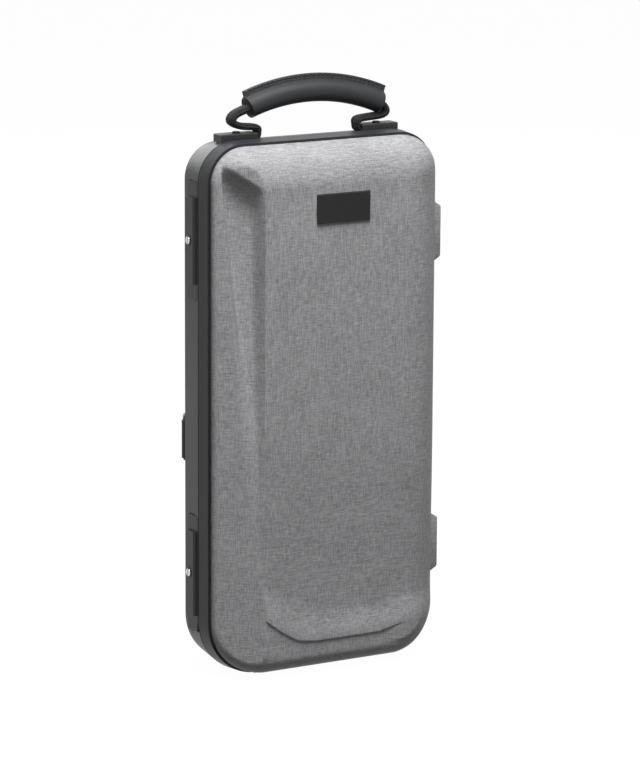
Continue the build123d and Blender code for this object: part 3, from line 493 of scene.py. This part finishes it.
def skin_depth(x, z):
    """Depth of the lid's outer skin in front of the seam."""
    from_centre = z - MIDDLE_Z
    corner = CORNER if from_centre > 0 else LOW_CORNER
    over_x = abs(x) - (HALF_WIDTH - corner)
    over_z = abs(from_centre) - (HALF_HEIGHT - corner)
    if over_x > 0 and over_z > 0:
        reach = math.hypot(over_x, over_z)
        edge = corner - reach
        sideways = (over_x / max(reach, 1e-6)) ** 2
    else:
        edge = corner - max(over_x, over_z)
        sideways = 1.0 if over_x > over_z else 0.0
    edge = max(edge, 0.0)
    face = panel_face(x, z)
    side_face = PANEL_DEPTH - 0.5 * sink(z)
    right_reach = HALF_WIDTH + RIGHT_OVERRUN - PANEL_RIGHT
    top_reach = MIDDLE_Z + HALF_HEIGHT - PANEL_TOP
    slope = (side_face - LEFT_WALL) / (PANEL_LEFT + HALF_WIDTH)
    tilt = math.atan(slope)
    turn = LEFT_WALL + LEFT_ROUND * (slope - 1 / math.cos(tilt))

    def left_side(e):
        if e < LEFT_ROUND * (1 - math.sin(tilt)):
            return turn + math.sqrt(LEFT_ROUND**2 - (LEFT_ROUND - e) ** 2)
        return LEFT_WALL + slope * e

    def right_side(e):
        return RIM_DEPTH + (face - RIM_DEPTH) * swell(1 - (e + RIGHT_OVERRUN) / right_reach)

    def top_side(e):
        return RIM_DEPTH + (face - RIM_DEPTH) * swell(1 - e / top_reach)

    def bottom_side(e):
        past = max(0.0, e - BOTTOM_RISE)
        return BAND_DEPTH - BOTTOM_DEPTH * (1 - swell(1 - e / BOTTOM_RISE)) + past

    depth = face
    if x < 0:
        depth = min(depth, left_side(max(0.0, x + HALF_WIDTH)))
    share_x = max(0.0, (x - PANEL_RIGHT) / right_reach)
    share_z = max(0.0, (z - PANEL_TOP) / top_reach)
    if share_x > 0 or share_z > 0:
        power = TOP_CORNER_POWER
        share = (share_x**power + share_z**power) ** (1 / power)
        depth = min(depth, RIM_DEPTH + (face - RIM_DEPTH) * swell(share))
    if from_centre < 0:
        depth = min(depth, bottom_side(z - MIDDLE_Z + HALF_HEIGHT))
    if over_x > 0 and over_z > 0:
        beside = left_side(edge) if x < 0 else right_side(edge)
        along = top_side(edge) if from_centre > 0 else bottom_side(edge)
        depth = min(depth, sideways * beside + (1 - sideways) * along)
    return depth - scoop_cut(x, z, depth)


def spread(*runs):
    """Positions along a line from (end, step) runs, the first run giving the start."""
    places = [runs[0]]
    for end, step in runs[1:]:
        count = max(1, round(abs(end - places[-1]) / step))
        start = places[-1]
        places += [start + (end - start) * k / count for k in range(1, count + 1)]
    return places


def rounded_place(place, inset=0.0):
    """Carries a place in a square-cornered field into one with the lid's round corners."""
    u, v = place.x, place.z - MIDDLE_Z
    corner = (CORNER if v > 0 else LOW_CORNER) - inset
    straight_u, straight_v = HALF_WIDTH - inset - corner, HALF_HEIGHT - inset - corner
    over_u = max(0.0, abs(u) - straight_u) / corner
    over_v = max(0.0, abs(v) - straight_v) / corner
    if over_u > 0 and over_v > 0:
        u = math.copysign(straight_u + corner * over_u * math.sqrt(1 - over_v**2 / 2), u)
        v = math.copysign(straight_v + corner * over_v * math.sqrt(1 - over_u**2 / 2), v)
    return u, v + MIDDLE_Z


def facing(form, way):
    """Turns a sheet's faces to one side: way is -1 for the front and 1 for the back."""
    bmesh.ops.recalc_face_normals(form, faces=form.faces)
    if way * sum(face.normal.y for face in form.faces) < 0:
        bmesh.ops.reverse_faces(form, faces=form.faces)


def field(columns, rows):
    """A flat grid in the x and z of the case, in mm, with lines at the given places."""
    form = bmesh.new()
    bmesh.ops.create_grid(
        form, x_segments=len(columns) - 1, y_segments=len(rows) - 1, size=0.5
    )
    for vert in form.verts:
        column = round((vert.co.x + 0.5) * (len(columns) - 1))
        row = round((vert.co.y + 0.5) * (len(rows) - 1))
        vert.co = (columns[column], 0, rows[row])
    return form


columns = spread(-HALF_WIDTH, (-100.88, 0.12), (-100.6, 0.3), (-99.6, 0.5), (-70.0, 1.15),
                 (-67.0, 1.0), (-65.6, 0.35), (-34.0, 1.5), (48.0, 3.4), (96.0, 2.0),
                 (100.0, 0.9), (100.8, 0.4), (HALF_WIDTH, 0.1))
low, high = MIDDLE_Z - HALF_HEIGHT, MIDDLE_Z + HALF_HEIGHT
rows = spread(low, (low + 0.1, 0.1), (low + 0.9, 0.4), (low + 9.0, 0.9), (27.0, 1.6),
              (36.0, 0.34), (56.0, 1.3), (240.0, 4.0), (380.0, 2.2), (high - 6.0, 1.1),
              (high - 1.0, 0.8), (high - 0.2, 0.4), (high, 0.1))
skin = field(columns, rows)
for offset in CREASE_LINES:
    around = set()
    for face in skin.faces:
        middle = face.calc_center_median()
        if CREASE_X[0] < middle.x < CREASE_X[1] and CREASE_Z[0] < middle.z < CREASE_Z[1]:
            around.update((face, *face.edges, *face.verts))
    bmesh.ops.bisect_plane(
        skin,
        geom=list(around),
        dist=1e-6,
        plane_co=(LIP_BEND_X + SLANT[0] * offset, 0, LIP_Z + SLANT[2] * offset),
        plane_no=SLANT,
    )
for vert in skin.verts:
    x, z = rounded_place(vert.co)
    vert.co = at(x, skin_depth(x, z), z)
border = [edge for edge in skin.edges if edge.is_boundary]
for item in bmesh.ops.extrude_edge_only(skin, edges=border)["geom"]:
    if isinstance(item, bmesh.types.BMVert):
        item.co.y = at(0, RIM_DEPTH, 0).y
facing(skin, -1)

HINGE_HEIGHTS = {"upper": 348.0, "lower": 91.0}
HUMP_X, HUMP_DEPTH = (98.0, 105.8), (15.02, 24.0)
HUMP_HALF, HUMP_SLOPE, HUMP_ROUND = 25.2, 4.5, 0.0016


def hump(form, height):
    """Adds a raised block with sloping ends to a form, its outer edges rounded."""
    block = bmesh.ops.create_cube(form, size=1.0)["verts"]
    for vert in block:
        outer = vert.co.x > 0
        z = height + math.copysign(HUMP_HALF, vert.co.z)
        if outer:
            z -= math.copysign(HUMP_SLOPE, vert.co.z)
        vert.co = at(HUMP_X[outer], HUMP_DEPTH[vert.co.y < 0], z)
    middle = at(sum(HUMP_X) / 2, 0, 0).x
    edges = {
        edge
        for vert in block
        for edge in vert.link_edges
        if any(v.co.x > middle for v in edge.verts)
    }
    round_edges(form, list(edges), HUMP_ROUND, 3)


shell = new_piece("pressed_lid", skin, linen_paint, "lid", ("lid_shell",))
thickness = shell.modifiers.new("sheet", "SOLIDIFY")
thickness.thickness = SKIN
thickness.offset = -1.0
humps = bmesh.new()
for height in HINGE_HEIGHTS.values():
    hump(humps, height)
new_piece("hinge_humps", humps, linen_paint, "lid")

# Badge: a bare plate of glossy black plastic with a bevelled edge, glued in a shallow
# pocket of the lid's panel.
plate_paint = surface(
    "badge_gloss", grain_group, 0.8, (0.008, 0.008, 0.009), (0.014, 0.014, 0.015),
    (0.30, 0.40), (0.12, 0.0001), values=(("Specular IOR Level", 0.25),),
)
softened("bare_plate", "badge_plate", plate_paint, "lid", 0.0002)

# Lid lining: a thin pad of dark plush glued inside the shell, which it follows, its edge
# tucked in behind the rim.
pile_group, pile_in, pile_out = effect("plush_pile", PLACE_AND_SCALE, SHADE_AND_HEIGHT)
pile_place = pile_in.outputs["Place"]
tufts = noise(pile_group, pile_place, scaled(pile_group, pile_in, 1500.0), 3.0, 0.7)
brushed = noise(pile_group, pile_place, scaled(pile_group, pile_in, 22.0), 3.0, 0.55)
pile_group.links.new(blend(pile_group, brushed, 0.6, tufts, 0.4), pile_out.inputs["Shade"])
pile_group.links.new(tufts, pile_out.inputs["Height"])
plush_paint = surface(
    "dark_plush", pile_group, 1.0, (0.012, 0.012, 0.016), (0.040, 0.040, 0.050),
    (0.85, 0.98), (0.7, 0.0006),
    values=(("Sheen Weight", 0.7), ("Sheen Roughness", 0.35), ("Specular IOR Level", 0.15)),
)
LINING_INSET, LINING_BAND = 3.6, 6.0
LINING_GAP, LINING_PAD = 4.4, 0.0016
LINING_LEAST, LINING_EDGE = 12.0, 21.2
PROBES, PROBE_STRETCH = (-3.0, 0.0, 3.0), (1.02, 1.01)
lining_columns = spread(-HALF_WIDTH + LINING_INSET, (-HALF_WIDTH + LINING_BAND, 0.8),
                        (HALF_WIDTH - LINING_BAND, 3.2), (HALF_WIDTH - LINING_INSET, 0.8))
lining_rows = spread(low + LINING_INSET, (low + LINING_BAND, 0.8),
                     (high - LINING_BAND, 3.6), (high - LINING_INSET, 0.8))
lining_form = field(lining_columns, lining_rows)
for vert in lining_form.verts:
    x, z = rounded_place(vert.co, LINING_INSET)
    out_x, out_z = x * PROBE_STRETCH[0], MIDDLE_Z + (z - MIDDLE_Z) * PROBE_STRETCH[1]
    shallowest = min(skin_depth(out_x + dx, out_z + dz) for dx in PROBES for dz in PROBES)
    vert.co = at(x, max(LINING_LEAST, shallowest - LINING_GAP), z)
for edge in [edge for edge in lining_form.edges if edge.is_boundary]:
    for vert in edge.verts:
        vert.co.y = max(vert.co.y, at(0, LINING_EDGE, 0).y)
facing(lining_form, 1)
lining = new_piece("lid_plush", lining_form, plush_paint, "lid", ("lid_lining",))
pad = lining.modifiers.new("pad", "SOLIDIFY")
pad.thickness = LINING_PAD
pad.offset = 1.0

# Hinges: two black coated steel leaves each, let into the rims, with knuckles round a
# plain steel pin. Small countersunk screws hold the leaves.
metal_group, metal_in, metal_out = effect("rubbed_metal", PLACE_AND_SCALE, SHADE_AND_HEIGHT)
metal_place = metal_in.outputs["Place"]
streaks = noise(metal_group, metal_place, metal_in.outputs["Scale"], 3.0, 0.6, (1400, 1400, 120))
blotch = noise(metal_group, metal_place, scaled(metal_group, metal_in, 60.0), 3.0, 0.6)
metal_group.links.new(blend(metal_group, streaks, 0.5, blotch, 0.5), metal_out.inputs["Shade"])
metal_group.links.new(streaks, metal_out.inputs["Height"])
coated_paint = surface(
    "black_coated_steel", metal_group, 1.0, (0.014, 0.014, 0.015), (0.028, 0.028, 0.030),
    (0.30, 0.44), (0.12, 0.0001), values=(("Specular IOR Level", 0.3),),
)
steel_paint = surface(
    "plain_steel", metal_group, 1.0, (0.30, 0.30, 0.31), (0.50, 0.50, 0.51),
    (0.26, 0.40), (0.15, 0.0001), metal=1.0,
)


def disc(form, place, axis, radius, height, rim, around):
    """Adds a round head to a form, standing on a place along an axis, its outer edge rounded."""
    place, axis = Vector(place), Vector(axis)
    turn = Vector((0, 0, 1)).rotation_difference(axis).to_matrix().to_4x4()
    new = bmesh.ops.create_cone(
        form, cap_ends=True, cap_tris=False, segments=around, radius1=radius,
        radius2=radius, depth=height,
        matrix=Matrix.Translation(place + axis * height / 2) @ turn,
    )["verts"]
    far = (place + axis * height).dot(axis)
    outer = [
        edge
        for edge in {e for v in new for e in v.link_edges}
        if all(abs(v.co.dot(axis) - far) < 1e-6 for v in edge.verts)
    ]
    round_edges(form, outer, rim, 3)


SCREW_X, SCREW_RISES = 103.9, (-16.0, 0.0, 16.0)
for row, screw_depth in (("base", -9.0), ("lid", 9.0)):
    screws = bmesh.new()
    for name, height in HINGE_HEIGHTS.items():
        softened(
            f"leaf_{row}_{name}", f"hinge_{row}_leaf_{name}", coated_paint, row,
            0.00025,
        )
        for rise in SCREW_RISES:
            spot = at(SCREW_X, screw_depth, height + rise)
            disc(screws, spot, (1, 0, 0), radius=0.0021, height=0.0004, rim=0.0003, around=16)
    new_piece(f"{row}_leaf_screws", screws, steel_paint, row)
for name in HINGE_HEIGHTS:
    softened(f"pin_of_hinge_{name}", f"hinge_pin_{name}", steel_paint, "base", 0.0002)

# Latches: a black plate let into the base's rim, a lever that turns on a steel pin, and a
# slotted nickel lock disc. Inside, a steel tongue reaches behind the lid's keeper.
latch_paint = surface(
    "latch_black", metal_group, 0.8, (0.016, 0.016, 0.018), (0.026, 0.026, 0.028),
    (0.28, 0.38), (0.08, 0.0001), values=(("Specular IOR Level", 0.28),),
)
nickel_paint = surface(
    "bright_nickel", metal_group, 1.4, (0.52, 0.52, 0.52), (0.74, 0.73, 0.71),
    (0.18, 0.30), (0.12, 0.0001), metal=1.0,
)
LATCH_HEIGHTS = {"upper": 352.0, "lower": 83.5}
LOCK_X, LOCK_DEPTH = -105.9, -12.2
LOCK_SUNK, SLOT_HALF = 0.0018, 0.00042
for name, height in LATCH_HEIGHTS.items():
    softened(
        f"plate_{name}", f"latch_plate_{name}", latch_paint, "base", 0.0004,
        gap=0.0004,
    )
    softened(
        f"lever_{name}_cap", f"latch_lever_{name}", latch_paint, f"lever_{name}",
        0.0006, 3,
    )
    lock_spot = at(LOCK_X, LOCK_DEPTH, height)
    collar = bmesh.new()
    disc(collar, lock_spot, (-1, 0, 0), radius=0.0043, height=0.0005, rim=0.0003, around=40)
    disc(
        collar, lock_spot + Vector((LOCK_SUNK, 0, 0)), (-1, 0, 0),
        radius=0.0029, height=0.0019, rim=0.0001, around=32,
    )
    new_piece(f"lock_collar_{name}", collar, latch_paint, f"lock_{name}")
    halves = bmesh.new()
    for way in (-1, 1):
        half = bmesh.new()
        disc(half, lock_spot, (-1, 0, 0), radius=0.0031, height=0.0008, rim=0.0002, around=40)
        bmesh.ops.bisect_plane(
            half, geom=[*half.verts, *half.edges, *half.faces], dist=1e-7,
            plane_co=lock_spot + Vector((0, way * SLOT_HALF, 0)), plane_no=(0, way, 0),
            clear_inner=True,
        )
        bmesh.ops.holes_fill(half, edges=[e for e in half.edges if e.is_boundary])
        bmesh.ops.recalc_face_normals(half, faces=half.faces)
        scrap = bpy.data.meshes.new("half_disc")
        half.to_mesh(scrap)
        half.free()
        halves.from_mesh(scrap)
    new_piece(
        f"lock_disc_{name}", halves, nickel_paint, f"lock_{name}",
        (f"latch_lock_{name}",),
    )
    softened(f"pin_of_latch_{name}", f"latch_pin_{name}", steel_paint, "base", 0.0001)
    softened(f"keeper_{name}", f"latch_keeper_{name}", steel_paint, "lid", 0.0002)
    softened(f"tongue_{name}", f"latch_tongue_{name}", steel_paint, "base", 0.0001)

# Handle brackets: black moulded blocks screwed to the top of the base's rim, which clamp
# the ends of the webbing.
bracket_paint = surface(
    "bracket_black", grain_group, 1.1, (0.017, 0.017, 0.019), (0.027, 0.027, 0.029),
    (0.34, 0.46), (0.3, 0.00012), values=(("Specular IOR Level", 0.3),),
)
for side in ("left", "right"):
    softened(
        f"block_{side}", f"handle_bracket_{side}", bracket_paint, "base",
        0.0005,
    )
    # The bracket screws take the near-black coated paint of the hinge leaves as painted shade. It
    # stands in for the shadow in their holes, not for a black coat of their own.
    softened(
        f"screw_in_painted_shade_{side}", f"bracket_screw_{side}", coated_paint, "base",
        0.0002,
    )

# Grip: black grained leather-like sheet wrapped round a foam core and sewn along the top,
# where the two edges stand up as a fin with two rows of stitches.
GRIP_ARC, GRIP_RADIUS = 165.0, 8.7
CASE_TOP, GRIP_RISE = 430.0, 33.5
GRIP_CENTRE_X, GRIP_LOW_Z = 3.1, CASE_TOP + GRIP_RISE - GRIP_ARC
GRIP_BACK = -10.0
GRIP_ENDS = (67.2, 110.1)
ROUND_FROM, ROUND_TURN, ROUND_STEPS, ROUND_LIMIT = 26, 308, 28, 8.2
FIN_ROOT, FIN_WAIST = (8.9, 1.9), 10.2
FIN_HALF, FIN_TOP = 1.3, 14.1
GRIP_STEPS, CORE_STEPS = 44, 40

leather_group, leather_in, leather_out = effect(
    "leather_grain", PLACE_AND_SCALE, SHADE_AND_HEIGHT
)
leather_place = leather_in.outputs["Place"]
cells = new_node(leather_group, "ShaderNodeTexVoronoi", feature="DISTANCE_TO_EDGE")
leather_group.links.new(leather_place, cells.inputs["Vector"])
leather_group.links.new(scaled(leather_group, leather_in, 720.0), cells.inputs["Scale"])
creases = math_node(leather_group, "MINIMUM", math_node(
    leather_group, "MULTIPLY", cells.outputs["Distance"], 3.2), 1.0)
polish = noise(leather_group, leather_place, scaled(leather_group, leather_in, 40.0), 3.0, 0.6)
leather_group.links.new(
    blend(leather_group, creases, 0.35, polish, 0.55), leather_out.inputs["Shade"]
)
leather_group.links.new(creases, leather_out.inputs["Height"])
leather_paint = surface(
    "black_grained_wrap", leather_group, 1.0, (0.010, 0.011, 0.012), (0.022, 0.023, 0.025),
    (0.50, 0.66), (0.4, 0.0003), values=(("Specular IOR Level", 0.35),),
)


def grip_place(angle, out_by, back_by):
    """A place at an angle round the grip's arc, in metres."""
    turn = math.radians(angle)
    reach = GRIP_ARC + out_by
    return at(
        GRIP_CENTRE_X + reach * math.cos(turn), GRIP_BACK - back_by,
        GRIP_LOW_Z + reach * math.sin(turn),
    )


def spun(form, outline, start, end, steps):
    """Sweeps an outline of (out, back) points round the grip's arc between two angles."""
    first = form.faces.new([form.verts.new(grip_place(start, *point)) for point in outline])
    bmesh.ops.spin(
        form, geom=[first], cent=at(GRIP_CENTRE_X, GRIP_BACK, GRIP_LOW_Z), axis=(0, -1, 0),
        angle=math.radians(end - start), steps=steps,
    )


def circle(radius, angles):
    """Points (out, back) on a circle round the grip's line, at angles in degrees."""
    turns = [math.radians(angle) for angle in angles]
    return [(radius * math.cos(turn), radius * math.sin(turn)) for turn in turns]


fin = [FIN_ROOT, (FIN_WAIST, FIN_HALF)]
fin += [(FIN_TOP - 0.5, FIN_HALF - 0.1), (FIN_TOP, FIN_HALF - 0.6)]
round_angles = [ROUND_FROM + k * ROUND_TURN / ROUND_STEPS for k in range(ROUND_STEPS + 1)]
round_part = [(a, b) for a, b in circle(GRIP_RADIUS, round_angles) if a < ROUND_LIMIT]
outline = [fin[0], *round_part, *[(a, -b) for a, b in fin], *fin[:0:-1]]
wrap = bmesh.new()
spun(wrap, outline, *GRIP_ENDS, GRIP_STEPS)
for cap in [face for face in wrap.faces if len(face.verts) > 6]:
    bmesh.ops.inset_individual(wrap, faces=[cap], thickness=0.0008, depth=-0.0004)
bmesh.ops.recalc_face_normals(wrap, faces=wrap.faces)
new_piece("sewn_grip", wrap, leather_paint, "handle", ("handle_grip",))
thread_paint = surface(
    "waxed_thread", metal_group, 1.0, (0.006, 0.006, 0.007), (0.014, 0.014, 0.015),
    (0.5, 0.62), (0.2, 0.0001),
)
STITCHES, STITCH_MARGIN = 30, 1.0
STITCH_ROWS, STITCH_BACK = (10.6, 12.9), FIN_HALF + 0.05
STITCH_RADIUS, STITCH_STRETCH = 0.00055, 2.7
stitch_span = GRIP_ENDS[1] - GRIP_ENDS[0] - 2 * STITCH_MARGIN
stitches = bmesh.new()
for row_out in STITCH_ROWS:
    for face_side in (-1, 1):
        for k in range(STITCHES):
            angle = GRIP_ENDS[0] + STITCH_MARGIN + stitch_span * k / (STITCHES - 1)
            along = Matrix.Rotation(-math.radians(angle), 4, "Y")
            place = Matrix.Translation(grip_place(angle, row_out, face_side * STITCH_BACK))
            bmesh.ops.create_icosphere(
                stitches, subdivisions=1, radius=STITCH_RADIUS,
                matrix=place @ along @ Matrix.Diagonal((1.0, 1.0, STITCH_STRETCH, 1.0)),
            )
new_piece("grip_stitches", stitches, thread_paint, "handle")
foam_paint = surface(
    "black_foam", pile_group, 1.3, (0.012, 0.012, 0.012), (0.024, 0.024, 0.025),
    (0.8, 0.95), (0.5, 0.0003),
)
CORE_RADIUS, CORE_PAST = 6.6, 0.1
core_round = circle(CORE_RADIUS, range(0, 360, 15))
core = bmesh.new()
spun(core, core_round, GRIP_ENDS[0] - CORE_PAST, GRIP_ENDS[1] + CORE_PAST, CORE_STEPS)
bmesh.ops.recalc_face_normals(core, faces=core.faces)
new_piece("grip_core", core, foam_paint, "handle", ("handle_core",))

# Webbing: ribbed black nylon folded between the grip's ends and the brackets. It is stiff
# enough to hold its folds, and its ends are clamped under the blocks.
WEB_DEPTH, WEB_HALF_WIDTH = -10.0, 0.0055
WEB_SIDES, WEB_POWER = 24, 0.6
FOLD_THICK, CLAMPED_THICK = (0.0031, 0.0026), (0.0022, 0.00105)

web_group, web_in, web_out = effect("ribbed_web", PLACE_AND_SCALE, SHADE_AND_HEIGHT)
web_parts = new_node(web_group, "ShaderNodeSeparateXYZ")
web_group.links.new(web_in.outputs["Place"], web_parts.inputs[0])
ribs = math_node(web_group, "ABSOLUTE", math_node(web_group, "SINE", math_node(
    web_group, "MULTIPLY", web_parts.outputs["X"], web_in.outputs["Scale"])))
yarn = math_node(web_group, "ABSOLUTE", math_node(web_group, "SINE", math_node(
    web_group, "MULTIPLY", web_parts.outputs["Y"], 44.0)))
web_group.links.new(blend(web_group, ribs, 0.35, yarn, 0.6), web_out.inputs["Shade"])
web_group.links.new(
    math_node(web_group, "MULTIPLY_ADD", ribs, 0.4, yarn), web_out.inputs["Height"]
)
web_paint = surface(
    "ribbed_black_webbing", web_group, 1600.0, (0.005, 0.005, 0.006), (0.024, 0.024, 0.026),
    (0.62, 0.82), (0.9, 0.0006), place="UV",
    values=(("Specular IOR Level", 0.2),),
)


def webbing(name, body, route, thick, stands_for):
    """A flat woven strap along a smooth line through a route, its ribs on a UV map.

    The route gives x and z, and thick is half its thickness at its start and at its end.
    """
    curve = bpy.data.curves.new(name, "CURVE")
    curve.dimensions = "3D"
    curve.resolution_u = 10
    line = curve.splines.new("NURBS")
    line.points.add(len(route) - 1)
    for point, (x, z) in zip(line.points, route):
        point.co = (*at(x, WEB_DEPTH, z), 1.0)
    line.order_u = 3
    line.use_endpoint_u = True
    guide = bpy.data.objects.new(name + "_line", curve)
    track = [v.co.copy() for v in bpy.data.meshes.new_from_object(guide).vertices]
    bpy.data.objects.remove(guide)
    form = bmesh.new()
    chart = form.loops.layers.uv.new("along")
    flat = Vector((0, 1, 0))
    section = []
    for k in range(WEB_SIDES):
        turn = 2 * math.pi * k / WEB_SIDES
        a = math.copysign(abs(math.cos(turn)) ** WEB_POWER, math.cos(turn))
        b = math.copysign(abs(math.sin(turn)) ** WEB_POWER, math.sin(turn)) * WEB_HALF_WIDTH
        section.append((a, b))
    rings, walked, run = [], [0.0], 0.0
    for k, here in enumerate(track):
        before, after = track[max(k - 1, 0)], track[min(k + 1, len(track) - 1)]
        across = (after - before).normalized().cross(flat).normalized()
        half = thick[0] + (thick[1] - thick[0]) * k / (len(track) - 1)
        rings.append([form.verts.new(here + across * a * half + flat * b) for a, b in section])
        if k:
            run += (here - track[k - 1]).length
            walked.append(run)
    for k in range(len(rings) - 1):
        for n in range(WEB_SIDES):
            m = (n + 1) % WEB_SIDES
            face = form.faces.new((rings[k][n], rings[k][m], rings[k + 1][m], rings[k + 1][n]))
            ends = (walked[k], walked[k], walked[k + 1], walked[k + 1])
            for loop, along, around in zip(face.loops, ends, (n, n + 1, n + 1, n)):
                loop[chart].uv = (along, around / WEB_SIDES)
    form.faces.new(rings[0][::-1])
    form.faces.new(rings[-1])
    bmesh.ops.recalc_face_normals(form, faces=form.faces)
    new_piece(name, form, web_paint, body, (stands_for,))


webbing(
    "fold_left", "handle",
    [(-50.5, 454.6), (-57.0, 452.2), (-66.5, 449.0), (-70.0, 443.6),
     (-62.0, 439.4), (-51.0, 438.4), (-45.4, 437.6), (-45.6, 435.2)],
    FOLD_THICK, "handle_strap_left",
)
webbing(
    "fold_right", "handle",
    [(63.5, 452.0), (69.0, 449.2), (73.0, 443.6), (69.0, 440.2),
     (58.0, 439.4), (49.0, 438.8), (45.0, 437.4), (45.6, 435.2)],
    FOLD_THICK, "handle_strap_right",
)
for side, name in ((-1, "left"), (1, "right")):
    webbing(
        f"clamped_end_{name}", "base",
        [(side * 45.5, 436.0), (side * 45.2, 432.4), (side * 46.6, 429.6),
         (side * 50.0, 429.3), (side * 59.0, 429.3)],
        CLAMPED_THICK, f"strap_tab_{name}",
    )

# Strap lugs and rings: black moulded lugs behind the two long sides, each with a bent
# black wire ring for a carrying strap.
for name in ("left", "right"):
    softened(f"lug_{name}", f"strap_lug_{name}", bracket_paint, "base", 0.0004)
    ring_mesh = nodes[f"strap_ring_{name}"].data
    ring_mesh.materials.clear()
    ring_mesh.materials.append(coated_paint)

# Padded insert: foam bars, floor and low walls covered in plush, glued into the base so
# that every section of the instrument has its own well.
BAR_ROUND, FLOOR_ROUND = 0.0016, 0.0006
for name in (
    "insert_side_left", "insert_side_right", "insert_end_top", "insert_end_bottom",
    "insert_floor", "divider_joints", "divider_bell", "divider_middle", "divider_tray",
    "divider_accessory", "divider_barrel",
):
    width = FLOOR_ROUND if name == "insert_floor" else BAR_ROUND
    softened(f"plush_{name}", name, plush_paint, "base", width, 3)
softened("plush_cover", "accessory_cover", plush_paint, "cover", 0.0005)
softened("pin_of_cover", "cover_pin", steel_paint, "base", 0.0002)
